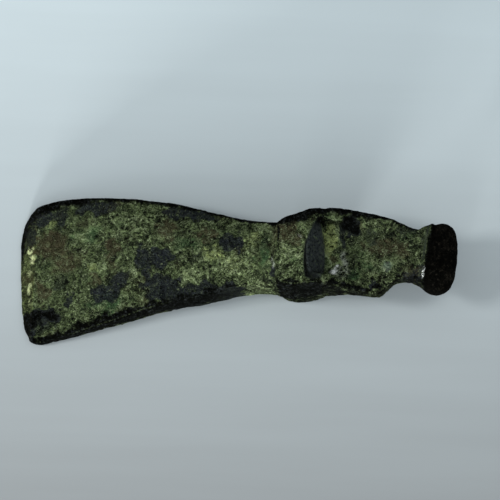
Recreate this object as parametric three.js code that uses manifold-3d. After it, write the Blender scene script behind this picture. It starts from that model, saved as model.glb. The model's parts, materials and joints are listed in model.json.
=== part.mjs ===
// Palstave axe head: a bronze blade cast with a stop ridge, a haft bed between side
// flanges on both faces, and a narrow neck that ends in a flared butt.
// The axe is drawn with X from the cutting edge to the butt, Y across the blade and Z
// through its thickness, with the mould's parting plane at zero. At the end it is
// turned to lie as it does on a table, on the bevel's shoulder and the stop's land.

import * as THREE from 'three';
import { mergeVertices } from 'three/addons/utils/BufferGeometryUtils.js';
import Module from 'manifold-3d';

const wasm = await Module();
wasm.setup();

// Driving dimensions in millimetres
const seam = 0.3; // gap between neighbouring zones

const bladeLength = 90.2; // cutting edge to the step of the stop ridge
const bevelLength = 5; // ground strip behind the cutting edge
const edgeThickness = 0.7;
const bevelThickness = 2.6; // at the shoulder where the ground strip ends
const bladeThickness = 18; // at the step of the stop ridge
const waistWidth = 21.8;
const farHorn = 9.9; // how far the blade spreads beyond the waist, far side
const nearHorn = 20; // the same, near side

const landLength = 10.3; // level top of the stop ridge
const stopThickness = 25; // at the back of the land
const stopSlope = 5.4; // run of the sloping face from the land to the bed
const crestBow = 3; // how far the crest's far end lies behind its foremost place
const cheekDrop = 2.6; // fall of the cheeks beside the slope

const bedLength = 23.9; // from the foot of the slope to the neck
const septumThickness = 6;
const bedFarFront = 11.4; // bed's half width at the slope, far side
const bedNearFront = 8.2; // the same, near side
const bedFarBack = 8.6; // bed's half width at the neck, far side
const bedNearBack = 7.9; // the same, near side

const farBulge = 4.4; // far flange beyond the waist's side
const nearBulge = 2.7; // near flange beyond the waist's side
const flangeHeight = 17.4; // over both rims, at the stop
const flangeTipThickness = 6.6; // over both rims, at the tips

const neckLength = 12;
const neckWidth = 17;
const neckThickness = 6.4;
const neckFlare = 2; // growth of each side from the neck to the butt's rim

const buttLength = 9;
const buttWidth = 24.6;
const buttThickness = 13;
const buttShift = 0.8; // the butt sits this far to the near side
const buttRake = THREE.MathUtils.degToRad(8); // slant of the neck's and butt's ends

const overrun = 4; // how far cutting blocks pass a surface

// Places along the axe
const crestX = bladeLength + landLength;
const slopeFootX = crestX + stopSlope;
const neckStartX = slopeFootX + bedLength;
const rimX = neckStartX + neckLength;
const halfShare = 0.5;
const halfSeam = seam * halfShare;
const waistSide = waistWidth * halfShare;
const neckSide = neckWidth * halfShare;
const rake = Math.tan(buttRake);

// Slope of the ground under the resting axe, which the stop's land is parallel to
const restRise =
	((stopThickness - bevelThickness) * halfShare) / (crestX - bevelLength);

// Mesh fineness, as counts
const outlineSteps = 3;
const bladeSteps = { along: 20, across: 10 };
const stopSteps = { along: 1, across: 1 };
const pocketSteps = { along: 1, across: 12 };
const flangeSteps = { along: 10, across: 1 };
const neckSteps = { along: 12, across: 14 };
const buttSides = 40;

// Plan of the blade. Each row holds a share of the blade's length and a share of the
// horn, counted from the waist's side; the last rows run round the corner.
const farBladeShares = [
	[0.993, -0.01],
	[0.97, 0.0],
	[0.933, -0.01],
	[0.887, 0.04],
	[0.81, 0.2],
	[0.693, 0.49],
	[0.617, 0.66],
	[0.5, 0.84],
	[0.424, 0.93],
	[0.307, 1.0],
	[0.23, 1.0],
	[0.153, 0.94],
	[0.107, 0.85],
	[0.068, 0.74],
	[0.038, 0.55],
	[0.02, 0.31],
	[0.004, -0.03],
	[-0.004, -0.64],
];
const nearBladeShares = [
	[0.003, -0.16],
	[0.011, 0.21],
	[0.021, 0.57],
	[0.031, 0.77],
	[0.041, 0.87],
	[0.052, 0.95],
	[0.07, 0.99],
	[0.09, 1.0],
	[0.121, 0.98],
	[0.153, 0.94],
	[0.23, 0.84],
	[0.307, 0.73],
	[0.424, 0.56],
	[0.5, 0.44],
	[0.617, 0.3],
	[0.693, 0.25],
	[0.81, 0.11],
	[0.887, 0.04],
	[0.933, 0.03],
	[0.97, 0.05],
	[0.993, 0.07],
];

// Plan from the step to the flange tips: share of the length to the neck, and share
// of the flange's bulge, counted from the waist's side.
const farFlangeShares = [
	[0.005, -0.09],
	[0.09, -0.02],
	[0.17, 0.2],
	[0.25, 0.51],
	[0.33, 0.76],
	[0.41, 0.93],
	[0.5, 1.02],
	[0.67, 1.03],
	[0.87, 0.66],
	[1.002, 0.33],
];
const nearFlangeShares = [
	[0.005, 0.25],
	[0.04, 0.38],
	[0.09, 0.52],
	[0.17, 0.62],
	[0.25, 0.56],
	[0.32, 0.4],
	[0.39, 0.3],
	[0.5, 0.36],
	[0.67, 0.67],
	[0.87, 1.05],
];

// Plan of the notches behind the flange tips and of the neck: share of the neck's
// length, and share of the neck's flare, counted from the neck's side.
const farNeckShares = [
	[0.12, 1.4],
	[0.28, 1.0],
	[0.45, 0.55],
	[0.72, 0.3],
	[1.0, 1.05],
	[1.6, 1.2],
];
const nearNeckShares = [
	[-0.24, 1.75],
	[-0.12, 1.0],
	[0.0, 0.3],
	[0.14, -0.08],
	[0.37, -0.08],
	[0.7, 0.45],
	[1.0, 1.25],
	[1.6, 1.6],
];

// Thickness of the blade: share of the way from the shoulder to the step, and share
// of the growth from the shoulder's thickness to the step's.
const bladeRiseShares = [
	[0.0, 0.0],
	[0.1, 0.1],
	[0.26, 0.31],
	[0.46, 0.54],
	[0.67, 0.76],
	[0.85, 0.9],
	[1.0, 1.0],
];
const crownShare = 0.3; // how much lower the blade's sides are, at the step

// Flange rims: share of the bed's length, and share of the fall from stop to tip
const rimFallShares = [
	[0.0, 0.0],
	[0.2, 0.3],
	[0.4, 0.72],
	[0.55, 0.94],
	[0.8, 1.0],
	[1.2, 1.0],
];

// Rise of the neck's faces to the butt's rim: shares of the neck's length and rise
const neckRiseShares = [
	[0.0, 0.0],
	[0.5, 0.0],
	[0.68, 0.06],
	[0.82, 0.36],
	[0.93, 0.8],
	[1.0, 1.0],
];

// Rings of the butt: shares of its length, half width and half thickness
const buttRingShares = [
	[0.0, 0.87, 0.98],
	[0.14, 0.95, 1.0],
	[0.32, 1.0, 0.9],
	[0.5, 0.99, 0.76],
	[0.68, 0.93, 0.6],
	[0.83, 0.83, 0.44],
	[0.94, 0.67, 0.29],
	[1.0, 0.44, 0.16],
];
const buttSquareness = 3.2; // exponent of the butt's rounded section
const endRakeShare = 0.45; // how much of the rim's rake the butt's dome keeps

// Where the stop's crest lies foremost, as a share of the pocket from its near side
const crestFrontShare = 0.36;

const greenBronze = { color: 0x3f4931, roughness: 0.62, metalness: 0.35 };
const darkBronze = { color: 0x14160f, roughness: 0.45, metalness: 0.4 };
const groundBronze = { color: 0x5d6a36, roughness: 0.42, metalness: 0.6 };

// A smooth height for any place along a table of shares
function curveThrough(table) {
	const places = table.map(([place]) => place);
	const heights = table.map(([, height]) => height);
	const slopes = [];
	for (let i = 1; i < table.length; i += 1) {
		slopes.push((heights[i] - heights[i - 1]) / (places[i] - places[i - 1]));
	}
	const tangentAt = (i) => {
		const before = slopes[Math.max(i - 1, 0)];
		const after = slopes[Math.min(i, slopes.length - 1)];
		return before * after <= 0 ? 0 : (before + after) * halfShare;
	};
	return (place) => {
		const at = THREE.MathUtils.clamp(place, places[0], places.at(-1));
		let i = 0;
		while (i < places.length - 2 && at > places[i + 1]) {
			i += 1;
		}
		const width = places[i + 1] - places[i];
		const t = (at - places[i]) / width;
		const blend = t * t * (3 - 2 * t);
		const lead = t * (1 - t) * (1 - t) * width * tangentAt(i);
		const trail = t * t * (t - 1) * width * tangentAt(i + 1);
		return THREE.MathUtils.lerp(heights[i], heights[i + 1], blend) + lead + trail;
	};
}

// Closed geometry to solid and back
function solidOf(geometry) {
	geometry.deleteAttribute('normal');
	geometry.deleteAttribute('uv');
	const merged = mergeVertices(geometry);
	return new wasm.Manifold(
		new wasm.Mesh({
			numProp: 3,
			vertProperties: new Float32Array(merged.attributes.position.array),
			triVerts: new Uint32Array(merged.index.array),
		}),
	);
}

function meshOf(name, solid, finish) {
	const { vertProperties, triVerts } = solid.getMesh();
	const geometry = new THREE.BufferGeometry();
	geometry.setAttribute('position', new THREE.BufferAttribute(vertProperties, 3));
	geometry.setIndex(new THREE.BufferAttribute(triVerts, 1));
	geometry.computeVertexNormals();
	const mesh = new THREE.Mesh(geometry, new THREE.MeshStandardMaterial(finish));
	mesh.name = name;
	return mesh;
}

// A unit box whose points are moved by a rule; u and v run from 0 to 1 and the last
// argument is 1 on the upper face and -1 on the lower one.
function shapedBox({ along, across }, place) {
	const geometry = new THREE.BoxGeometry(1, 1, 1, along, across, 1);
	const points = geometry.attributes.position;
	for (let i = 0; i < points.count; i += 1) {
		const u = points.getX(i) + halfShare;
		const v = points.getY(i) + halfShare;
		points.setXYZ(i, ...place(u, v, Math.sign(points.getZ(i))));
	}
	return solidOf(geometry);
}

// A block across the whole axe between two cross planes, which may be raked. Its
// sides stand clear of the plan, at a distance that may follow the width there.
const reach = waistSide + Math.max(farHorn, nearHorn, farBulge, nearBulge) + overrun;

function crossBlock(from, to, steps, height, { slant = 0, span = () => reach } = {}) {
	return shapedBox(steps, (u, v, face) => {
		const along = THREE.MathUtils.lerp(from, to, u);
		const y = THREE.MathUtils.lerp(-span(along, -1), span(along, 1), v);
		const x = along + slant * y;
		return [x, y, face * height(x, y)];
	});
}

// The plan outline of blade, stop, flanges and neck, extruded through the thickness
function planSolid() {
	const bladePoint = (side, horn) => ([along, out]) =>
		new THREE.Vector2(along * bladeLength, side * (waistSide + out * horn));
	const haftLength = neckStartX - bladeLength;
	const flangePoint = (side, bulge) => ([along, out]) =>
		new THREE.Vector2(
			bladeLength + along * haftLength,
			side * (waistSide + out * bulge),
		);
	const neckPoint = (side) => ([along, out]) =>
		new THREE.Vector2(
			neckStartX + along * neckLength,
			side * (neckSide + out * neckFlare),
		);
	const farSide = [
		...farBladeShares.map(bladePoint(1, farHorn)).reverse(),
		...farFlangeShares.map(flangePoint(1, farBulge)),
	];
	const farNeck = farNeckShares.map(neckPoint(1));
	const nearNeck = nearNeckShares.map(neckPoint(-1)).reverse();
	const nearSide = [
		...nearFlangeShares.map(flangePoint(-1, nearBulge)).reverse(),
		...nearBladeShares.map(bladePoint(-1, nearHorn)).reverse(),
	];
	const outline = new THREE.Shape();
	outline.moveTo(farSide[0].x, farSide[0].y);
	outline.splineThru(farSide.slice(1));
	outline.splineThru(farNeck);
	outline.lineTo(nearNeck[0].x, nearNeck[0].y);
	outline.splineThru(nearNeck.slice(1));
	outline.lineTo(nearSide[0].x, nearSide[0].y);
	outline.splineThru(nearSide.slice(1));
	outline.closePath();
	const depth = stopThickness + overrun;
	const geometry = new THREE.ExtrudeGeometry(outline, {
		depth,
		bevelEnabled: false,
		curveSegments: outlineSteps,
	});
	geometry.translate(0, 0, -depth * halfShare);
	return solidOf(geometry);
}

const plan = planSolid();

// Half thickness of the ground strip, the blade and the stop's land
const bevelHalf = bevelThickness * halfShare;
const bladeHalf = bladeThickness * halfShare;
const bladeRise = curveThrough(bladeRiseShares);

function bevelHeight(x) {
	const share = Math.max(x, 0) / bevelLength;
	return THREE.MathUtils.lerp(edgeThickness, bevelThickness, share) * halfShare;
}

function bladeSide(x, side) {
	const share = (x - bevelLength) / (bladeLength - bevelLength);
	const horn = side > 0 ? farHorn : nearHorn;
	return waistSide + THREE.MathUtils.lerp(horn, 0, share);
}

function bladeHeight(x, y) {
	const share = (x - bevelLength) / (bladeLength - bevelLength);
	const middle = THREE.MathUtils.lerp(bevelHalf, bladeHalf, bladeRise(share));
	return middle * (1 - crownShare * share * (y / bladeSide(x, y)) ** 2);
}

function landHeight(x) {
	return stopThickness * halfShare - (crestX - x) * restRise;
}

function cuttingEdge() {
	const steps = { along: 2, across: 1 };
	return plan.intersect(crossBlock(-overrun, bevelLength - halfSeam, steps, bevelHeight));
}

function blade() {
	const from = bevelLength + halfSeam;
	const to = bladeLength - halfSeam;
	const span = (x, side) => bladeSide(x, side) + overrun;
	return plan.intersect(crossBlock(from, to, bladeSteps, bladeHeight, { span }));
}

// Sides of the haft bed, straight from the slope's foot to the neck
const bedEdges = {
	far: (x) => bedEdge(x, bedFarFront, bedFarBack),
	near: (x) => -bedEdge(x, bedNearFront, bedNearBack),
};

function bedEdge(x, front, back) {
	return THREE.MathUtils.lerp(front, back, (x - slopeFootX) / bedLength);
}

// The stop ridge: a block with level lands, and on both faces a sloping pocket
// between the cheeks that leads down to the haft bed.
function stopBlock() {
	const cheekSlope = cheekDrop / stopSlope;
	const height = (x) =>
		x <= crestX ? landHeight(x) : landHeight(crestX) - (x - crestX) * cheekSlope;
	const front = crossBlock(bladeLength + halfSeam, crestX, stopSteps, height);
	const back = crossBlock(crestX, slopeFootX - halfSeam, stopSteps, height);
	return front.add(back);
}

function stopPocket(face) {
	const top = stopThickness * halfShare;
	const fall = top - septumThickness * halfShare;
	return shapedBox(pocketSteps, (u, v, side) => {
		const bow = crestBow * ((v - crestFrontShare) / (1 - crestFrontShare)) ** 2;
		const crest = crestX + bow;
		const x = THREE.MathUtils.lerp(crest, slopeFootX + overrun, u);
		const y = THREE.MathUtils.lerp(bedEdges.near(x), bedEdges.far(x), v);
		const floor = top - ((x - crest) / (slopeFootX - crest)) * fall;
		return [x, y, face * top + (side * face > 0 ? face * overrun : face * (floor - top))];
	});
}

function stopRidge() {
	const block = plan.intersect(stopBlock());
	return block.subtract(stopPocket(1)).subtract(stopPocket(-1));
}

// The septum between the flanges, whose faces are the haft beds
function septum() {
	const half = septumThickness * halfShare;
	return shapedBox({ along: 1, across: 1 }, (u, v, face) => {
		const from = slopeFootX + halfSeam;
		const to = neckStartX - halfSeam;
		const rough = THREE.MathUtils.lerp(from, to, u);
		const inset = THREE.MathUtils.lerp(halfSeam, -halfSeam, v);
		const y = THREE.MathUtils.lerp(bedEdges.near(rough), bedEdges.far(rough), v) + inset;
		return [rough + u * rake * y, y, face * half];
	});
}

// One flange: a wall beside the septum, on one face of the parting plane
const rimFall = curveThrough(rimFallShares);

function flangeRim(x) {
	const share = rimFall((x - slopeFootX) / bedLength);
	return THREE.MathUtils.lerp(flangeHeight, flangeTipThickness, share) * halfShare;
}

function flange(side, face) {
	const edge = side > 0 ? bedEdges.far : bedEdges.near;
	const wall = shapedBox(flangeSteps, (u, v, sign) => {
		const rough = THREE.MathUtils.lerp(slopeFootX + halfSeam, neckStartX - halfSeam, u);
		const inner = edge(rough) + side * halfSeam;
		const outer = side * reach;
		const y = THREE.MathUtils.lerp(side > 0 ? inner : outer, side > 0 ? outer : inner, v);
		const x = rough + u * rake * y;
		const low = halfSeam;
		const high = flangeRim(rough);
		return [x, y, sign * face > 0 ? face * high : face * low];
	});
	return plan.intersect(wall);
}

// The neck, whose faces rise at its end to the rim of the butt
const neckRise = curveThrough(neckRiseShares);

function neckHeight(x, y) {
	const share = neckRise((x - rake * y - neckStartX) / neckLength);
	const out = Math.min(Math.abs(y + buttShift) / (buttWidth * halfShare), 1);
	const round = (1 - out ** buttSquareness) ** (1 / buttSquareness);
	const rise = (buttThickness - neckThickness) * share * round;
	return (neckThickness + rise) * halfShare;
}

function neck() {
	const from = neckStartX + halfSeam;
	const to = rimX - halfSeam;
	const span = () => buttWidth * halfShare + overrun;
	return plan.intersect(
		crossBlock(from, to, neckSteps, neckHeight, { slant: rake, span }),
	);
}

// The butt: rings of a rounded section that close in a dome
function buttEnd() {
	const rings = buttRingShares.length - 1;
	const geometry = new THREE.CylinderGeometry(1, 1, 1, buttSides, rings);
	const points = geometry.attributes.position;
	const power = 2 / buttSquareness;
	const spread = (value) => Math.sign(value) * Math.abs(value) ** power;
	for (let i = 0; i < points.count; i += 1) {
		const ring = Math.round((halfShare - points.getY(i)) * rings);
		const [along, wide, thick] = buttRingShares[ring];
		const y = spread(points.getX(i)) * wide * buttWidth * halfShare - buttShift;
		const z = spread(points.getZ(i)) * thick * buttThickness * halfShare;
		const slant = rake * y * THREE.MathUtils.lerp(1, endRakeShare, along);
		points.setXYZ(i, rimX + halfSeam + along * buttLength + slant, y, z);
	}
	return solidOf(geometry);
}

const axe = new THREE.Group();
axe.add(
	meshOf('cutting_edge', cuttingEdge(), groundBronze),
	meshOf('blade', blade(), greenBronze),
	meshOf('stop_ridge', stopRidge(), greenBronze),
	meshOf('septum', septum(), greenBronze),
	meshOf('flange_far_upper', flange(1, 1), greenBronze),
	meshOf('flange_far_lower', flange(1, -1), greenBronze),
	meshOf('flange_near_upper', flange(-1, 1), greenBronze),
	meshOf('flange_near_lower', flange(-1, -1), greenBronze),
	meshOf('neck', neck(), greenBronze),
	meshOf('butt_end', buttEnd(), darkBronze),
);

// Laid on a level surface, with the middle of the space it takes above the origin
axe.rotation.y = -Math.atan(restRise);
const palstave = new THREE.Group();
palstave.add(axe);
palstave.updateMatrixWorld(true);
const room = new THREE.Box3().setFromObject(palstave, true);
const centre = room.getCenter(new THREE.Vector3());
axe.position.set(-centre.x, -centre.y, -room.min.z);

export default palstave;
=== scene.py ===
"""Looks of a patinated bronze palstave axe head: one rough casting, cut into its zones."""

import json
import logging
import math
from dataclasses import asdict, dataclass, field, fields
from enum import Enum

import bmesh
import bpy
import numpy as np
from mathutils import Matrix, Vector, noise


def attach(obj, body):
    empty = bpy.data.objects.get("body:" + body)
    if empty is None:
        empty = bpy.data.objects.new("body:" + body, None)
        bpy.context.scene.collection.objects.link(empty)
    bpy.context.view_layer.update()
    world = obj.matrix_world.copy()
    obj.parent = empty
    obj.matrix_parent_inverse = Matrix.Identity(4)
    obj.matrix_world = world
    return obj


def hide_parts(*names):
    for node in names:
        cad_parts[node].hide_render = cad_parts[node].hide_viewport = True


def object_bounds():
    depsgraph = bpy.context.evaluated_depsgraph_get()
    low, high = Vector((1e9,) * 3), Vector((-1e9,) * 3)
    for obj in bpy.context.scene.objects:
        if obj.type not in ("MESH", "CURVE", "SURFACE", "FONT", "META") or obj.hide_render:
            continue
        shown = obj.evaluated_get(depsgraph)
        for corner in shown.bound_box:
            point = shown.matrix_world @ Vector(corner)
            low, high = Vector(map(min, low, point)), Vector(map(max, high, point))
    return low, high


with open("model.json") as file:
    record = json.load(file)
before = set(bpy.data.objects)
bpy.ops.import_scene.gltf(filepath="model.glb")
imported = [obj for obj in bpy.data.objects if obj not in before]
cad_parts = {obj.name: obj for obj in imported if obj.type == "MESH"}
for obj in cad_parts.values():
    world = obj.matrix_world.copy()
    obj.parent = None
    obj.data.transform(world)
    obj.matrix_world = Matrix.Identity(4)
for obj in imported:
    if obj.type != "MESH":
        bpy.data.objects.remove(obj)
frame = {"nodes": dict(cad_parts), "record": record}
cad_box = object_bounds()

MM = 0.001
LOG = logging.getLogger("palstave")

# Kinds of settings. A range holds the two ends of a rise. A grain holds the size of the
# largest spots in millimetres, how many times finer spots are added, and a seed. A
# screen colour holds levels of red, green and blue up to 255. A border holds the gain
# of the noise that tears a mask, and the two ends of the mask's rise.
Range = tuple[float, float]
Grain = tuple[float, int, int]
Screen = tuple[float, float, float]
Border = tuple[float, float, float]
Socket = bpy.types.NodeSocket

# How far each further seed moves a pattern, in spots, and the form of cloudy noise
GRAIN_STEP = (17.3, 5.7, 11.1)
CELL_STEP = (7.9, 13.7, 3.1)
CELL_STRETCH = 91.7
GRAIN_FALL = 1.0
GRAIN_FINER = 2.1

# Where a patch's border begins, as a share of its half size
PATCH_REACH = 1.15

# Middle value of the shaders' noise and of the skin's tone
MIDDLE = 0.5


class Slot(Enum):
    """Material slots of the record."""

    GREEN = "green_patina"
    DARK = "dark_bronze"
    GROUND = "ground_edge"


class Stain(Enum):
    """Named masks that the finishes read from the surface, one attribute each."""

    DARK = "dark_patch"
    BROWN = "brown_patch"
    BRIGHT = "bright_patch"
    SMOOTH = "smooth_patch"
    MOSS = "yellow_patch"
    COOL = "cool_patch"
    SLATE = "slate_patch"
    # Black deposit, together with painted shade along the far side and on the stop's lit slopes.
    SOOT_AND_SHADE = "soot_and_shade"
    # The next two are painted highlights.
    GLINT = "glint"
    SHEEN = "sheen"
    CAVITY = "cavity"
    RIDGE = "ridge"


@dataclass(frozen=True)
class AxeSpace:
    """The axe's own axes: X from the cutting edge, Y across, Z from the mid plane.

    Args:
        to_axe: turns a point of the frame, in metres, into millimetres of the axe.
    """

    to_axe: Matrix

    @classmethod
    def from_frame(cls, back_reach: float = 0.01) -> "AxeSpace":
        """Reads the tilt from the upper haft bed's normal and the origin from the nodes.

        Args:
            back_reach: how far from the blade's back its corners count, in millimetres.

        Returns:
            The axe's space.
        """
        mounts = {m["name"]: m for m in frame["record"]["mounts"]}
        up = Vector(mounts["haft_bed_upper"]["axis"]).normalized()
        along = Vector((up.z, 0, -up.x))
        turn = Matrix((along, Vector((0, 1, 0)), up)).to_4x4()
        edge = [turn @ v.co for v in frame["nodes"]["cutting_edge"].data.vertices]
        blade = [turn @ v.co for v in frame["nodes"]["blade"].data.vertices]
        back = max(p.x for p in blade)
        waist = [p.y for p in blade if p.x > back - back_reach * MM]
        start = min(p.x for p in edge)
        middle = (min(p.z for p in edge) + max(p.z for p in edge)) / 2
        origin = Vector((start, (min(waist) + max(waist)) / 2, middle))
        scale = Matrix.Scale(1 / MM, 4)
        return cls(scale @ Matrix.Translation(-origin) @ turn)

    def local(self, points: np.ndarray) -> np.ndarray:
        """Points of the frame, in metres, as millimetres of the axe."""
        m = np.array(self.to_axe)
        return points @ m[:3, :3].T + m[:3, 3]

    def facing(self, normals: np.ndarray) -> np.ndarray:
        """Unit vectors of the frame in the axe's axes."""
        m = np.array(self.to_axe)[:3, :3] * MM
        return normals @ m.T

    def normals(self, facing: np.ndarray) -> np.ndarray:
        """Unit vectors of the axe in the frame's axes."""
        return facing @ np.array(self.to_axe)[:3, :3] * MM

    def world(self, point: Vector) -> Vector:
        """A point of the axe, in millimetres, as a point of the frame, in metres."""
        return self.to_axe.inverted() @ point

    def world_direction(self, direction: Vector) -> Vector:
        """A direction of the axe as a unit direction of the frame."""
        return (self.to_axe.inverted().to_3x3() @ direction).normalized()


@dataclass(frozen=True)
class PhotoView:
    """The camera that sees the axe as the photograph does.

    The scale holds in the axe's plane, and middle_px is where the middle of the axe's
    box lies in the image.
    """

    image: float = 500.0
    elevation: float = math.radians(73.6)
    roll: float = math.radians(-1.8)
    distance: float = 0.75
    pixels_per_metre: float = 2907.0
    middle_px: tuple[float, float] = (236.2, 268.9)

    @property
    def toward(self) -> Vector:
        """Direction from the axe to the camera."""
        return Vector((0, -math.cos(self.elevation), math.sin(self.elevation)))

    @property
    def right(self) -> Vector:
        """The image's right side, as a direction of the frame."""
        across, up = Vector((1, 0, 0)), self.toward.cross(Vector((1, 0, 0)))
        return across * math.cos(self.roll) - up * math.sin(self.roll)

    @property
    def up(self) -> Vector:
        """The image's upper side, as a direction of the frame."""
        return self.toward.cross(self.right)

    @property
    def target(self) -> Vector:
        """What lies in the middle of the image.

        Returns:
            A point of the frame.
        """
        middle = (cad_box[0] + cad_box[1]) / 2
        half = self.image / 2
        aside = (half - self.middle_px[0]) / self.pixels_per_metre
        above = (self.middle_px[1] - half) / self.pixels_per_metre
        return middle + self.right * aside + self.up * above


@dataclass(frozen=True)
class Blot:
    """An uneven oval patch on both faces of the axe, in its own millimetres.

    Args:
        along: its middle, from the cutting edge.
        across: its middle, from the axis to the far side.
        long: half its length.
        wide: half its width.
        turn: how far it is turned to the left, in degrees.
        strength: how strongly it shows, up to one.
    """

    along: float
    across: float
    long: float
    wide: float
    turn: float = 0.0
    strength: float = 1.0


@dataclass(frozen=True)
class Warp:
    """Wavering of the patches' borders, in millimetres for each vertex.

    Args:
        along: its part along the axe.
        across: its part across the axe.
    """

    along: np.ndarray
    across: np.ndarray

    def share(self, part: float) -> "Warp":
        """The same wavering with a smaller reach."""
        return Warp(self.along * part, self.across * part)


@dataclass
class Skin:
    """The casting's surface as arrays, one row for each vertex.

    Args:
        local: points in the axe's millimetres.
        facing: normals in the axe's axes.
        edges: pairs of neighbouring vertices.
        stains: masks from zero to one.
    """

    local: np.ndarray
    facing: np.ndarray
    edges: np.ndarray
    stains: dict[Stain, np.ndarray] = field(default_factory=dict)

    def places(self, size: float, seed: int, step: tuple[float, float, float]) -> list[Vector]:
        """The points in a pattern's own unit, moved by its seed.

        Args:
            size: the pattern's unit, in millimetres.
            seed: moves the pattern.
            step: how far each further seed moves it.

        Returns:
            One place for each vertex.
        """
        offset = Vector([seed * part for part in step])
        return [Vector(p) / size + offset for p in self.local.tolist()]

    def grain(self, size: float, octaves: int, seed: int) -> np.ndarray:
        """Cloudy noise over the surface.

        Args:
            size: size of the largest spots, in millimetres.
            octaves: how many times finer spots are added.
            seed: moves the pattern.

        Returns:
            Values of about minus one to one.
        """
        places = self.places(size, seed, GRAIN_STEP)
        return np.array([noise.fractal(p, GRAIN_FALL, GRAIN_FINER, octaves) for p in places])

    def cells(self, size: float, seed: int) -> tuple[np.ndarray, np.ndarray]:
        """Distance to the nearest of scattered points, and a number for that point.

        Args:
            size: mean distance of the points, in millimetres.
            seed: moves the pattern.

        Returns:
            The distances in millimetres and the points' numbers from zero to one.
        """
        found = [noise.voronoi(p) for p in self.places(size, seed, CELL_STEP)]
        near = np.array([f[0][0] for f in found]) * size
        draw = np.array([noise.cell(f[1][0] * CELL_STRETCH) for f in found])
        return near, draw

    def average(self, values: np.ndarray) -> np.ndarray:
        """Mean of each vertex's neighbours.

        Args:
            values: one number or one row for each vertex.

        Returns:
            The means, in the same form.
        """
        count = len(self.local)
        a, b = self.edges[:, 0], self.edges[:, 1]
        degree = np.bincount(a, minlength=count) + np.bincount(b, minlength=count)
        columns = values.reshape(count, -1)
        sums = [
            np.bincount(a, weights=column[b], minlength=count)
            + np.bincount(b, weights=column[a], minlength=count)
            for column in columns.T
        ]
        return (np.stack(sums, axis=1) / np.maximum(degree, 1)[:, None]).reshape(values.shape)

    def cover(self, blots: tuple[Blot, ...], warp: Warp, soft: float) -> np.ndarray:
        """How far each vertex lies inside any of the patches.

        Args:
            blots: the patches.
            warp: wavering that breaks up their borders.
            soft: width of the border, as a share of the patch.

        Returns:
            Values from zero, outside, to one.
        """
        best = np.zeros(len(self.local))
        for blot in blots:
            turn = math.radians(blot.turn)
            dx = self.local[:, 0] + warp.along - blot.along
            dy = self.local[:, 1] + warp.across - blot.across
            along = (dx * math.cos(turn) + dy * math.sin(turn)) / blot.long
            aside = (dy * math.cos(turn) - dx * math.sin(turn)) / blot.wide
            inside = PATCH_REACH - np.hypot(along, aside)
            best = np.maximum(best, blot.strength * smooth_step(inside, 0, soft))
        return best

    def add(self, stain: Stain, values: np.ndarray) -> None:
        """Keeps the larger of a mask's old and new values.

        Args:
            stain: the mask.
            values: the new values, from zero to one.
        """
        old = self.stains.get(stain, np.zeros(len(self.local)))
        self.stains[stain] = np.maximum(old, np.clip(values, 0, 1))


def smooth_step(values: np.ndarray, low: float, high: float) -> np.ndarray:
    """Rises from zero at low to one at high, level at both ends.

    Args:
        values: the numbers to shape.
        low: where the rise begins.
        high: where it ends.

    Returns:
        Values from zero to one.
    """
    t = np.clip((values - low) / (high - low), 0, 1)
    return t * t * (3 - 2 * t)


def band(values: np.ndarray, middle: float, half_width: float) -> np.ndarray:
    """One at the middle, falling smoothly to zero at the half width.

    Args:
        values: the numbers to shape.
        middle: place of the band.
        half_width: distance from its middle to its end.

    Returns:
        Values from zero to one.
    """
    return smooth_step(1 - np.abs(values - middle) / half_width, 0, 1)


@dataclass(frozen=True)
class Patches:
    """Patches of one kind.

    Args:
        stain: the mask that they go to.
        blots: their places and sizes.
        soft: width of their borders, as a share of the patch.
        strength: how strongly they show, up to one.
        waver: how far their borders follow the casting's wavering, as a share.
    """

    stain: Stain
    blots: tuple[Blot, ...]
    soft: float = 0.5
    strength: float = 1.0
    waver: float = 1.0


@dataclass
class Zone:
    """A part of the casting with patches and a relief of its own.

    Args:
        patches: its patches.
    """

    patches: tuple[Patches, ...] = ()

    def relief(self, skin: Skin) -> np.ndarray:
        """Height of the zone's marks over its plain form.

        Args:
            skin: the casting's surface.

        Returns:
            Heights in millimetres.
        """
        raise NotImplementedError

    def stain(self, skin: Skin, warp: Warp) -> None:
        """Adds the zone's patches to the skin's masks.

        Args:
            skin: the casting's surface.
            warp: wavering of the borders.
        """
        for kind in self.patches:
            values = skin.cover(kind.blots, warp.share(kind.waver), kind.soft)
            skin.add(kind.stain, values * kind.strength)


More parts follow.
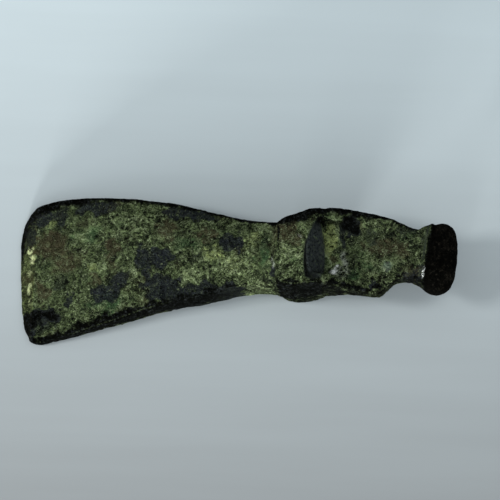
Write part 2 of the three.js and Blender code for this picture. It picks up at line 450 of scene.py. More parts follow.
@dataclass
class Blade(Zone):
    """The flared blade and its ground cutting edge, in millimetres.

    A raised line marks the bevel's shoulder, and nicks in the edge fade out behind it.
    """

    patches: tuple[Patches, ...] = (
        Patches(Stain.DARK, blots=(
            Blot(43.4, 0.0, 3.2, 4.6, 0, 0.9), Blot(49.8, -1.2, 5.2, 4.6),
            Blot(45.4, -7.4, 2.2, 4.2, -8), Blot(51.5, -11.6, 6.3, 5.6, 10),
            Blot(58.4, -14.2, 5.5, 4.3, 10), Blot(66.0, -12.9, 5.9, 2.9, 12),
            Blot(74.3, -12.8, 4.8, 2.5, 12), Blot(74.6, 3.3, 5.2, 3.8),
            Blot(62.6, 14.0, 7.2, 2.5, -12), Blot(53.7, 15.3, 2.4, 2.2, -10, 0.8),
            Blot(31.0, -13.4, 5.2, 4.0, 25), Blot(35.8, -9.1, 4.1, 3.2, 30, 0.85),
            Blot(14.7, -9.1, 3.1, 2.5, 0, 0.45), Blot(17.9, -16.4, 1.7, 2.9, -15),
            Blot(9.6, -20.8, 6.2, 3.6, -10), Blot(9.0, -25.4, 6.5, 2.6, 0, 0.5),
            # These two darken the far horn as painted shade.
            Blot(6.5, 14.5, 5.5, 4.2, 20, 0.75), Blot(3.2, 8.5, 2.6, 5.5, 0, 0.7),
            Blot(5.2, -25.7, 2.4, 4.0, -20), Blot(13.7, 14.7, 4.1, 4.0, 0, 0.65),
            Blot(26.9, 17.8, 8.3, 2.9, -3, 0.8), Blot(62.3, -1.6, 2.1, 2.9, 0, 0.45),
        )),
        Patches(Stain.BROWN, soft=0.9, blots=(
            Blot(11.0, 4.8, 6.9, 7.2), Blot(32.4, 1.9, 3.1, 4.7, -10),
            Blot(51.3, 7.8, 5.5, 4.7, 0, 0.9), Blot(67.2, 6.6, 4.1, 2.2, -8),
            Blot(27.9, -8.5, 4.5, 2.5, 10, 0.8), Blot(8.7, -12.2, 4.1, 5.0, 0, 0.7),
            Blot(14.7, -2.2, 9.0, 4.3, 0, 0.6),
        )),
        Patches(Stain.BRIGHT, soft=1.0, blots=(
            Blot(30.6, -4.3, 4.2, 3.6), Blot(39.8, -8.6, 2.2, 5.5, 0, 0.9),
            Blot(24.1, 9.2, 6.0, 5.0, 0, 0.8), Blot(43.5, 11.0, 6.5, 5.2, 0, 0.8),
            Blot(5.0, 3.0, 1.6, 3.2, 0, 0.8), Blot(60.3, -7.2, 5.9, 5.0, -15, 0.8),
            Blot(67.8, -0.4, 7.2, 4.8, -25), Blot(85.9, 7.5, 3.4, 3.2, 0, 0.8),
            Blot(74.8, -4.0, 9.0, 5.4, -25), Blot(81.6, 2.8, 4.6, 4.4),
            Blot(37.1, -16.6, 5.5, 4.3, 15, 0.8), Blot(30.2, -19.9, 3.8, 2.2, 10, 0.9),
            Blot(19.5, -18.2, 6.2, 6.5, 0, 0.15), Blot(11.7, -27.6, 5.2, 2.2, 10, 0.3),
            Blot(4.8, -15.3, 1.7, 7.9, 0, 0.8), Blot(84.4, -11.5, 6.2, 2.9, 0, 0.7),
            Blot(45.7, 6.1, 2.8, 2.2, 0, 0.5),
        )),
        Patches(Stain.COOL, soft=0.9, blots=(
            Blot(86.5, 0.0, 3.4, 7.0, 0, 0.75), Blot(31.0, -17.0, 9.0, 5.0, 10, 0.7),
            Blot(60.0, 4.0, 8.0, 4.0, 0, 0.5), Blot(22.0, 9.0, 9.0, 6.0, 0, 0.5),
        )),
        Patches(Stain.MOSS, soft=0.9, blots=(
            Blot(60.3, -7.2, 5.9, 4.0, -15, 0.3), Blot(68.0, -0.2, 6.6, 4.4, -25, 0.75),
            Blot(77.0, -4.0, 7.0, 4.5, -25, 0.5), Blot(82.6, 4.0, 5.5, 5.0, 0, 0.6),
            Blot(26.0, -4.0, 4.0, 3.5, 0, 0.6), Blot(10.0, 12.0, 5.0, 4.0, 0, 0.5),
        )),
        Patches(Stain.SMOOTH, strength=0.7, blots=(
            Blot(86.4, -2.2, 3.0, 6.1), Blot(14.0, -2.0, 26.0, 24.0, 0, 0.45),
            Blot(58.0, 2.0, 12.0, 9.0, 0, 0.2),
        )),
        Patches(Stain.SOOT_AND_SHADE, soft=0.7, blots=(
            Blot(5.6, -21.2, 4.8, 3.6), Blot(10.8, -20.5, 4.4, 2.8, 0, 0.95),
            Blot(3.4, -25.4, 2.6, 4.2, 0, 0.9),
        )),
        # Painted highlights on the cutting edge, where it looks bare.
        Patches(Stain.GLINT, soft=0.6, waver=0.25, blots=(
            Blot(3.5, 2.9, 1.3, 1.3), Blot(4.2, -0.2, 1.1, 1.7, 0, 0.8),
            Blot(3.7, -9.7, 0.7, 1.1, 0, 0.7), Blot(3.5, -12.0, 0.6, 1.5, 0, 0.8),
            Blot(3.9, -15.5, 0.6, 1.4, 0, 0.6), Blot(3.7, -5.3, 0.8, 1.3, 0, 0.6),
        )),
    )
    bevel: float = 5.0
    shoulder_half: float = 1.6
    shoulder_height: float = 0.08
    nick_depth: float = 0.3
    nick_grain: Grain = (3.4, 2, 21)
    nick_reach: float = 1.5
    nick_fade: float = 3.0

    def relief(self, skin: Skin) -> np.ndarray:
        """Height of the blade's shoulder line and nicks over its plain form.

        Args:
            skin: the casting's surface.

        Returns:
            Heights in millimetres.
        """
        x = skin.local[:, 0]
        edge = smooth_step(self.bevel + self.nick_reach - x, 0, self.nick_fade)
        nicks = np.clip(skin.grain(*self.nick_grain), 0, 1) * edge
        shoulder = band(x, self.bevel, self.shoulder_half) * self.shoulder_height
        return shoulder - nicks * self.nick_depth


@dataclass(frozen=True)
class Arc:
    """A bowed line across the axe, along one of its straight lines.

    Args:
        behind: how far it lies behind the straight line, in millimetres.
        bow: how strongly it bends back towards both sides, or forward if negative.
        middle: where across the axe it starts to bend.
    """

    behind: float
    bow: float
    middle: float

    def at(self, y: np.ndarray, line: float) -> np.ndarray:
        """Places of the bowed line along the axe, for the straight line's place."""
        return line + self.behind + self.bow * (y - self.middle) ** 2


@dataclass
class StopRidge(Zone):
    """The stop: its step, rough lands, cheeks and sloping pocket faces, in millimetres.

    Step, crest and foot are places behind the cutting edge, and offsets are given from
    them. A fade holds the two ends of a border, and a waver is the share of the casting's
    wavering that a border follows. The slope's near end tapers before and behind its tip.
    The dark line along the step is whole around its middle and broken elsewhere, and it
    shifts from its near place to its far place.
    """

    patches: tuple[Patches, ...] = (
        Patches(Stain.DARK, blots=(
            Blot(98.5, 12.1, 4.1, 1.8, 10), Blot(89.2, -6.8, 1.5, 2.6),
        )),
        Patches(Stain.BROWN, soft=0.6, blots=(
            Blot(94.5, 6.9, 4.4, 4.6), Blot(97.7, 3.2, 2.8, 2.9, 0, 0.6),
        )),
        Patches(Stain.BRIGHT, soft=0.6, blots=(
            # The thin second blot is a painted highlight on the step's face.
            Blot(95.7, -0.6, 4.5, 4.7, 0, 0.6), Blot(88.6, -1.4, 0.6, 3.4, 0, 0.9),
        )),
        # Painted highlights: a pale line on the step and a small spot on the land.
        Patches(Stain.SHEEN, soft=0.8, waver=0.3, blots=(
            Blot(89.2, -3.6, 0.4, 2.6, 0, 0.2), Blot(98.4, 4.4, 0.5, 1.2, 60, 0.2),
        )),
    )
    step: float = 90.2
    crest: float = 100.5
    foot: float = 105.9
    crease_grain: Grain = (4, 2, 31)
    crease_bend: float = 0.5
    crease_ahead: float = 0.4
    crease_half: float = 0.7
    crease_depth: float = 0.22
    land_half: float = 6.0
    lump_grain: Grain = (1.9, 2, 32)
    lump_height: float = 0.2
    cheek_behind: float = 3.6
    cheek_half: float = 7.0
    cheek_swell: float = 0.7
    slope_start: Arc = Arc(-0.3, 0.019, -3.5)
    slope_end: Arc = Arc(0.9, -0.012, -1.0)
    start_fade: Range = (-0.35, 0.35)
    end_fade: Range = (-0.3, 0.5)
    slope_waver: float = 0.08
    slope_half: float = 10.6
    tip: float = 103.2
    taper: float = 0.3
    slope_calm: float = 0.9
    slope_shade: float = 0.9
    shade_fade: Range = (0.3, 0.72)
    line_grain: Grain = (2.2, 3, 33)
    line_gaps: Range = (-0.25, 0.15)
    line_broken: float = 0.85
    line_middle: float = 6.0
    line_half: float = 4.6
    line_join: Range = (0, 0.5)
    line_near: float = -0.3
    line_far: float = 1.1
    line_shift: Range = (-1.5, 0.5)
    line_waver: float = 0.12
    line_width: float = 0.7

    def relief(self, skin: Skin) -> np.ndarray:
        """Height of the stop's crease, rough land and swollen cheeks over its plain form.

        Args:
            skin: the casting's surface.

        Returns:
            Heights in millimetres.
        """
        x = skin.local[:, 0]
        bent = x + skin.grain(*self.crease_grain) * self.crease_bend
        crease = band(bent, self.step - self.crease_ahead, self.crease_half) * self.crease_depth
        land = band(x, (self.step + self.crest) / 2, self.land_half)
        lumps = skin.grain(*self.lump_grain) * self.lump_height * land
        cheeks = band(x, self.step + self.cheek_behind, self.cheek_half)
        cheeks = cheeks * np.abs(skin.facing[:, 1])
        return lumps + cheeks * self.cheek_swell - crease

    def stain(self, skin: Skin, warp: Warp) -> None:
        """Adds the stop's patches, smooth slopes, their painted shade and the line along its step.

        Args:
            skin: the casting's surface.
            warp: wavering of the borders.
        """
        super().stain(skin, warp)
        slope = self.slope(skin, warp)
        skin.add(Stain.SMOOTH, slope * self.slope_calm)
        skin.add(Stain.SLATE, slope)
        # Painted shade: the slopes' less steep, lit part is darkened like their shaded part.
        lit = 1 - smooth_step(skin.facing[:, 0], *self.shade_fade)
        skin.add(Stain.SOOT_AND_SHADE, slope * lit * self.slope_shade)
        skin.add(Stain.SOOT_AND_SHADE, self.line(skin, warp))

    def slope(self, skin: Skin, warp: Warp) -> np.ndarray:
        """Mask of the smooth sloping faces.

        Args:
            skin: the casting's surface.
            warp: wavering of the borders.

        Returns:
            Values from zero to one.
        """
        x, y, _ = skin.local.T
        wavy = warp.along * self.slope_waver
        front = smooth_step(x + wavy - self.slope_start.at(y, self.crest), *self.start_fade)
        slope = front * smooth_step(self.slope_end.at(y, self.foot) - x + wavy, *self.end_fade)
        tapered = self.taper * np.abs(x - self.tip)
        slope *= smooth_step(y + self.slope_half - tapered, *self.end_fade)
        return slope * smooth_step(self.slope_half - y, *self.end_fade)

    def line(self, skin: Skin, warp: Warp) -> np.ndarray:
        """Mask of the dark line along the step, broken at the near side.

        Args:
            skin: the casting's surface.
            warp: wavering of the borders.

        Returns:
            Values from zero to one.
        """
        x, y, _ = skin.local.T
        gaps = smooth_step(skin.grain(*self.line_grain), *self.line_gaps)
        whole = band(y, self.line_middle, self.line_half)
        shift = (self.line_far - self.line_near) * smooth_step(y, *self.line_shift)
        place = self.line_near + shift
        line = band(x + warp.along * self.line_waver, self.step + place, self.line_width)
        return line * np.maximum(gaps * self.line_broken, smooth_step(whole, *self.line_join))


@dataclass
class HaftBed(Zone):
    """The septum and the four flanges beside it, with shallow hollows, in millimetres."""

    patches: tuple[Patches, ...] = (
        Patches(Stain.DARK, blots=(
            Blot(112.4, 8.0, 1.8, 5.5, 0, 0.8), Blot(115.8, 10.5, 3.4, 3.6),
            Blot(123.2, -10.9, 1.7, 2.2), Blot(116.0, -3.0, 3.2, 4.6, 0, 0.3),
            Blot(123.5, 7.2, 4.0, 3.0, 0, 0.35),
        )),
        Patches(Stain.BROWN, soft=0.8, blots=(
            Blot(124.1, 2.7, 6.9, 4.0, 0, 0.6), Blot(109.0, 0.0, 3.1, 1.8, 0, 0.7),
        )),
        # The first blot is painted light: it lifts the bed where the stop shades it.
        Patches(Stain.BRIGHT, soft=0.7, blots=(
            Blot(108.6, 3.0, 4.6, 11.0), Blot(106.5, -9.2, 2.4, 1.8, -10, 0.8),
            Blot(121.6, 10.1, 3.1, 2.2, 0, 0.4), Blot(127.9, -3.6, 3.8, 3.2),
        )),
        # Painted light: this yellow patch lifts the bed where the stop shades it.
        Patches(Stain.MOSS, soft=0.6, waver=0.5, blots=(Blot(108.0, 5.6, 2.9, 7.2),)),
        Patches(Stain.COOL, soft=0.8, blots=(
            Blot(127.9, -3.4, 3.0, 2.6), Blot(123.5, -4.8, 4.1, 2.9, 0, 0.6),
            Blot(117.0, -6.0, 4.1, 2.9, 0, 0.6),
        )),
        # Painted highlights: white spots on the bed and a faint one on its green glow.
        Patches(Stain.SHEEN, soft=0.8, waver=0.5, blots=(
            Blot(109.5, -5.3, 1.5, 1.1, 25), Blot(127.9, -3.6, 2.4, 2.2, 0, 0.09),
            Blot(113.3, -1.0, 1.4, 4.0, 0, 0.2), Blot(109.9, -4.6, 0.6, 1.1, -20, 0.9),
            Blot(111.0, -3.4, 0.5, 0.9, -20, 0.8), Blot(112.4, -5.8, 2.8, 3.0, 0, 0.14),
        )),
        Patches(Stain.SOOT_AND_SHADE, strength=0.92, waver=0.5, blots=(
            Blot(114.8, 11.2, 3.2, 3.0), Blot(117.0, 9.6, 2.2, 1.6, 40, 0.9),
            Blot(110.0, -11.2, 6.0, 1.3, 0, 0.95), Blot(118.0, -12.2, 4.6, 1.2, -14, 0.95),
            Blot(124.4, -11.3, 1.6, 1.3),
        )),
    )
    front: float = 105.9
    back: float = 129.8
    fade: float = 3.0
    back_reach: float = 4.0
    hollow_grain: Grain = (5.5, 2, 41)
    hollow_depth: float = 0.22

    def relief(self, skin: Skin) -> np.ndarray:
        """Height of the bed's hollows over its plain form.

        Args:
            skin: the casting's surface.

        Returns:
            Heights in millimetres.
        """
        x = skin.local[:, 0]
        inside = smooth_step(x, self.front, self.front + self.fade)
        inside *= smooth_step(self.back + self.back_reach - x, 0, self.fade)
        return skin.grain(*self.hollow_grain) * self.hollow_depth * inside


@dataclass
class Butt(Zone):
    """The narrow neck and the flared, dark end, in millimetres.

    The rake is the rim's slope across the axe. Borders are given from the rim, and the
    black grows paler behind it. A smooth grey strip runs ahead of it.
    """

    patches: tuple[Patches, ...] = (
        Patches(Stain.DARK, blots=(
            Blot(135.3, 9.4, 5.5, 1.1, 0, 0.5), Blot(141.2, 3.3, 1.4, 5.7, -5, 0.4),
            Blot(139.2, -8.3, 0.9, 2.9, -10), Blot(136.2, -7.6, 3.4, 1.8, 0, 0.8),
            Blot(138.8, -5.8, 2.4, 3.4, 0, 0.6),
        )),
        Patches(Stain.BROWN, soft=0.8, blots=(
            Blot(133.3, 3.0, 4.1, 4.3, 0, 0.6), Blot(137.6, -7.0, 3.6, 3.4, -30, 0.9),
        )),
        # Painted highlight on the slope before the rim.
        Patches(Stain.SHEEN, soft=0.8, waver=0.2, blots=(Blot(140.5, -6.4, 0.7, 2.2, -10),)),
    )
    rake: float = 0.14
    ragged_grain: Grain = (5, 1, 51)
    ragged_bend: float = 0.5
    crease: float = 137.4
    crease_half: float = 1.1
    crease_depth: float = 0.2
    rim: float = 141.8
    lip_bend: float = 0.5
    lip_half: float = 1.0
    lip_height: float = 0.12
    border: Range = (-0.9, -0.2)
    border_waver: float = 0.2
    black: float = 0.9
    paler: float = 0.6
    paler_from: Range = (0.5, 2.5)
    grey_ahead: float = 1.3
    grey_half: float = 1.5
    grey_start: Range = (-4, -1)
    grey_calm: float = 0.8
    grey_dark: float = 0.6

    def from_rim(self, offsets: Range) -> Range:
        """Two places that are given as offsets from the rim."""
        return self.rim + offsets[0], self.rim + offsets[1]

    def relief(self, skin: Skin) -> np.ndarray:
        """Height of the neck's crease and the rim's lip over the plain form.

        Args:
            skin: the casting's surface.

        Returns:
            Heights in millimetres.
        """
        x = skin.local[:, 0] - self.rake * skin.local[:, 1]
        ragged = skin.grain(*self.ragged_grain) * self.ragged_bend
        crease = band(x + ragged, self.crease, self.crease_half) * self.crease_depth
        lip = band(x + ragged * self.lip_bend, self.rim, self.lip_half) * self.lip_height
        return lip - crease

    def stain(self, skin: Skin, warp: Warp) -> None:
        """Adds the neck's patches and blackens the end beyond the rim.

        Args:
            skin: the casting's surface.
            warp: wavering of the borders.
        """
        super().stain(skin, warp)
        place = skin.local[:, 0] - self.rake * skin.local[:, 1]
        x = place + warp.along * self.border_waver
        border = smooth_step(x, *self.from_rim(self.border))
        paler = self.paler * smooth_step(x, *self.from_rim(self.paler_from))
        skin.add(Stain.SOOT_AND_SHADE, border * (self.black - paler))
        grey = band(place, self.rim - self.grey_ahead, self.grey_half)
        grey = grey * smooth_step(skin.local[:, 1], *self.grey_start)
        skin.add(Stain.SMOOTH, grey * self.grey_calm * (1 - border))
        skin.add(Stain.DARK, grey * self.grey_dark * (1 - border))


@dataclass(frozen=True)
class Profile:
    """A width that changes along the axe.

    Args:
        places: places from the cutting edge, in millimetres.
        widths: the widths there, in millimetres.
    """

    places: tuple[float, ...]
    widths: tuple[float, ...]

    def at(self, x: np.ndarray) -> np.ndarray:
        """The width at any place along the axe."""
        return np.interp(x, self.places, self.widths)


@dataclass(frozen=True)
class Outline:
    """Where each vertex lies between the axe's sides and faces.

    Args:
        to_far: distance to the far side, in millimetres.
        to_near: distance to the near side, in millimetres.
        level: height over the mid plane, as a share of the thickness there.
    """

    to_far: np.ndarray
    to_near: np.ndarray
    level: np.ndarray

    @classmethod
    def of(cls, skin: Skin, slice_length: float = 0.5, thinnest: float = 0.2) -> "Outline":
        """Reads the outline in short slices along the axe.

        Args:
            skin: the casting's surface.
            slice_length: length of a slice, in millimetres.
            thinnest: least height that levels are measured against, in millimetres.

        Returns:
            The outline.
        """
        x, y, z = skin.local.T
        place = np.floor(x / slice_length).astype(int)
        place -= place.min()
        far = np.full(place.max() + 1, -np.inf)
        near = np.full(place.max() + 1, np.inf)
        top = np.zeros(place.max() + 1)
        np.maximum.at(far, place, y)
        np.minimum.at(near, place, y)
        np.maximum.at(top, place, z)
        return cls(far[place] - y, y - near[place], z / np.maximum(top[place], thinnest))


@dataclass(frozen=True)
class RimSootAndShade:
    """Black deposit and painted shade along the outline and where the surface turns to the sides.

    Profiles give the width of the band along each side, in millimetres, and the strength
    on the near side's wall. A ragged value says how far noise moves a border, a full
    value which share of a band is wholly black. The far side's wall is partly worn, the
    near one is blackest above its line, and the edge's band is wider and blacker at the
    horns. The far band and the edge's black at the far horn are painted shade, where the
    surface turns away from the light.
    """

    far: Profile = Profile(
        (0, 16, 30, 84, 91, 97, 102, 106, 111, 116, 121, 126, 150),
        (6.0, 4.4, 2.6, 2.0, 2.8, 5.2, 5.8, 3.6, 3.6, 4.4, 3.2, 1.8, 0.7),
    )
    near: Profile = Profile(
        (3, 10, 20, 34, 52, 72, 80, 89, 91, 112, 117, 122, 126, 131, 141),
        (0.6, 3.2, 4.8, 4.8, 3.0, 2.2, 0.4, 0.4, 2.3, 2.3, 2.7, 2.2, 0.8, 2.2, 2.2),
    )
    wall: Profile = Profile(
        (0, 66, 78, 90, 92, 105, 107, 122, 130, 150),
        (0.95, 0.9, 0.4, 0.4, 1.05, 1.05, 0.6, 0.6, 0.75, 0.6),
    )
    grain: Grain = (2.6, 4, 61)
    gaps: Range = (-0.25, 0.15)
    far_ragged: float = 0.9
    far_full: float = 0.35
    worn: float = 0.75
    worn_facing: Range = (0.6, 0.9)
    worn_level: Range = (-0.6, -0.3)
    near_ragged: float = 2.0
    near_full: float = 0.3
    near_soft: float = 0.1
    near_least: float = 0.2
    turned: Range = (0.2, 0.55)
    wall_facing: Range = (0.1, 0.4)
    line: float = -0.35
    line_ragged: float = 0.3
    line_fade: Range = (-0.15, 0.2)
    wall_low: float = 0.75
    wall_rise: float = 0.35
    edge: float = 1.4
    edge_ragged: float = 0.5
    edge_full: float = 0.35
    near_wider: float = 0.8
    near_horn: Range = (18, 30)
    far_wider: float = 1.6
    far_horn: Range = (3, 11)
    middle_black: float = 0.45
    end_black: float = 0.55
    far_end: Range = (-4, 2)
    near_end: Range = (17, 21)

    def stain(self, skin: Skin) -> None:
        """Adds the deposit and the painted shade to their shared mask.

        Args:
            skin: the casting's surface.
        """
        ragged = skin.grain(*self.grain)
        outline = Outline.of(skin)
        for values in (
            self.far_band(skin, outline, ragged),
            *self.near_bands(skin, outline, ragged),
            self.edge_band(skin, ragged),
        ):
            skin.add(Stain.SOOT_AND_SHADE, values)

    def far_band(self, skin: Skin, outline: Outline, ragged: np.ndarray) -> np.ndarray:
        """The black band along the far side, painted shade where it turns away, worn off its wall.

        Args:
            skin: the casting's surface.
            outline: its outline.
            ragged: noise of the borders.

        Returns:
            Values from zero to one.
        """
        width = self.far.at(skin.local[:, 0])
        inside = outline.to_far + ragged * self.far_ragged
        far = 1 - smooth_step(inside, width * self.far_full, width)
        hidden = smooth_step(skin.facing[:, 1], *self.worn_facing)
        hidden = hidden * smooth_step(-outline.level, *self.worn_level)
        return far * (1 - hidden * self.worn * smooth_step(ragged, *self.gaps))

    def near_bands(
        self, skin: Skin, outline: Outline, ragged: np.ndarray
    ) -> tuple[np.ndarray, np.ndarray]:
        """The ragged band along the near side and the deposit on its wall.

        Args:
            skin: the casting's surface.
            outline: its outline.
            ragged: noise of the borders.

        Returns:
            Both masks, from zero to one.
        """
        x = skin.local[:, 0]
        width = self.near.at(x)
        inside = outline.to_near + ragged * self.near_ragged
        near = 1 - smooth_step(inside, width * self.near_full, width + self.near_soft)
        turned = smooth_step(1 - np.abs(skin.facing[:, 2]), *self.turned)
        below = turned * smooth_step(-skin.facing[:, 1], *self.wall_facing)
        low, high = (self.line + offset for offset in self.line_fade)
        upper = smooth_step(outline.level + ragged * self.line_ragged, low, high)
        face = near * (width > self.near_least) * (1 - below)
        return face, below * self.wall.at(x) * (self.wall_low + self.wall_rise * upper)

    def edge_band(self, skin: Skin, ragged: np.ndarray) -> np.ndarray:
        """The band along the cutting edge, wider and blacker at the horns, painted shade at the
        far one.

        Args:
            skin: the casting's surface.
            ragged: noise of the border.

        Returns:
            Values from zero to one.
        """
        x, y, _ = skin.local.T
        wider = 1 + self.near_wider * smooth_step(-y, *self.near_horn)
        reach = self.edge * (wider + self.far_wider * smooth_step(y, *self.far_horn))
        edge = 1 - smooth_step(x + ragged * self.edge_ragged, reach * self.edge_full, reach)
        ends = smooth_step(y, *self.far_end) + smooth_step(-y, *self.near_end)
        return edge * (self.middle_black + self.end_black * ends)


@dataclass(frozen=True)
class Rounding:
    """How strongly corners are rounded along the axe: little at the edge and the stop.

    The weight changes between the two places of each range, in millimetres. Each eased
    place has its middle, its reach and its own rounds.
    """

    rounds: int = 44
    pull: float = 0.6
    sharp: float = 0.08
    blade: Range = (1.0, 26.0)
    crest: float = 0.6
    crest_start: Range = (96.0, 99.0)
    crest_end: Range = (108.0, 114.0)
    rim: float = 0.6
    rim_start: Range = (138.0, 140.5)
    eased: tuple[tuple[float, float, int], ...] = (
        (90.4, 6.0, 150),
        (106.0, 2.6, 25),
        (141.8, 4.0, 50),
    )

    def weight(self, x: np.ndarray) -> np.ndarray:
        """The rounding's weight at places along the axe.

        Args:
            x: the places, in millimetres.

        Returns:
            Values from zero to one.
        """
        blade = self.sharp + (1 - self.sharp) * smooth_step(x, *self.blade)
        crest = smooth_step(x, *self.crest_start) * (1 - smooth_step(x, *self.crest_end))
        return blade - crest * self.crest - smooth_step(x, *self.rim_start) * self.rim

    def ease(
        self, points: np.ndarray, skin: Skin, middle: float, reach: float, rounds: int
    ) -> np.ndarray:
        """Smooths the surface strongly around one place along the axe.

        Args:
            points: the vertices in metres.
            skin: their surface.
            middle: the place, in millimetres from the cutting edge.
            reach: how far the smoothing goes from there, in millimetres.
            rounds: how often neighbours are averaged.

        Returns:
            The moved vertices.
        """
        x = skin.local[:, 0]
        inside = np.abs(x - middle) < reach
        number = np.cumsum(inside) - 1
        edges = number[skin.edges[inside[skin.edges].all(axis=1)]]
        part = Skin(skin.local[inside], skin.facing[inside], edges)
        weight = band(x[inside], middle, reach)[:, None] * self.pull
        moved = points[inside]
        for _ in range(rounds):
            moved = moved + (part.average(moved) - moved) * weight
        result = points.copy()
        result[inside] = moved
        return result

    def apply(self, points: np.ndarray, skin: Skin) -> np.ndarray:
        """Rounds the whole casting.

        Args:
            points: the vertices in metres.
            skin: their surface.

        Returns:
            The moved vertices.
        """
        weight = self.weight(skin.local[:, 0])
        for _ in range(self.rounds):
            points = points + (skin.average(points) - points) * self.pull * weight[:, None]
        for middle, reach, rounds in self.eased:
            points = self.ease(points, skin, middle, reach, rounds)
        return points


@dataclass(frozen=True)
class Corrosion:
    """Relief that the whole casting shares, in millimetres.

    Each grain is the noise of the height named before it. A scattered point becomes a pit
    if its number is high enough. Smooth patches and the thin edge are calmer.
    """

    swell: float = 0.22
    swell_grain: Grain = (15, 2, 15)
    side_swell: float = 0.26
    lumps: float = 0.13
    lump_grain: Grain = (2.8, 3, 13)
    grit: float = 0.05
    grit_grain: Grain = (0.9, 2, 14)
    flake_height: float = 0.09
    flake_grain: Grain = (5.0, 4, 11)
    flake_fade: Range = (0.02, 0.16)
    pit_spacing: float = 3.6
    pit_seed: int = 12
    pit_radius: float = 0.75
    pit_least: float = 0.5
    pit_floor: float = 0.8
    pit_chosen: Range = (0.45, 0.55)
    pit_depth: float = 0.34
    calm: float = 0.8
    thin: Range = (0.3, 5.0)
    thin_rough: float = 0.35
    sunk: float = 0.1

    def height(self, skin: Skin) -> np.ndarray:
        """Height of the corroded surface over the plain form.

        Args:
            skin: the casting's surface, with its stains.

        Returns:
            Heights in millimetres.
        """
        calm = 1 - self.calm * skin.stains[Stain.SMOOTH]
        thin = smooth_step(skin.local[:, 0], *self.thin)
        plateau = smooth_step(skin.grain(*self.flake_grain), *self.flake_fade) * self.flake_height
        near, draw = skin.cells(self.pit_spacing, self.pit_seed)
        radius = self.pit_radius * (self.pit_least + draw)
        pits = smooth_step(1 - near / radius, 0, self.pit_floor)
        pits = pits * smooth_step(draw, *self.pit_chosen) * self.pit_depth
        lumps = skin.grain(*self.lump_grain) * self.lumps
        rough = lumps + skin.grain(*self.grit_grain) * self.grit + plateau - pits
        rough = rough * calm * (self.thin_rough + (1 - self.thin_rough) * thin)
        height = skin.grain(*self.swell_grain) * self.swell * thin + rough
        height -= self.sunk * skin.stains[Stain.DARK]
        height += self.side_swell * (1 - skin.facing[:, 2] ** 2)
        return height


@dataclass(frozen=True)
class Hollows:
    """Marks the hollows and ridges of the finished surface.

    The curvature is blurred first, and hollows are weaker in the yellower parts.
    """

    rounds: int = 2
    blur: float = 0.5
    bend: Range = (0.002, 0.03)
    bright_bed: float = 0.85

    def mark(self, skin: Skin, points: np.ndarray, normals: np.ndarray) -> None:
        """Adds both masks.

        Args:
            skin: the final surface, whose masks are added to.
            points: its vertices in metres.
            normals: its unit normals in the frame.
        """
        bend = np.einsum("ij,ij->i", skin.average(points) - points, normals) / MM
        for _ in range(self.rounds):
            bend = skin.average(bend) * self.blur + bend * (1 - self.blur)
        open_bed = 1 - self.bright_bed * skin.stains[Stain.MOSS]
        skin.stains[Stain.CAVITY] = smooth_step(bend, *self.bend) * open_bed
        skin.stains[Stain.RIDGE] = smooth_step(-bend, *self.bend)


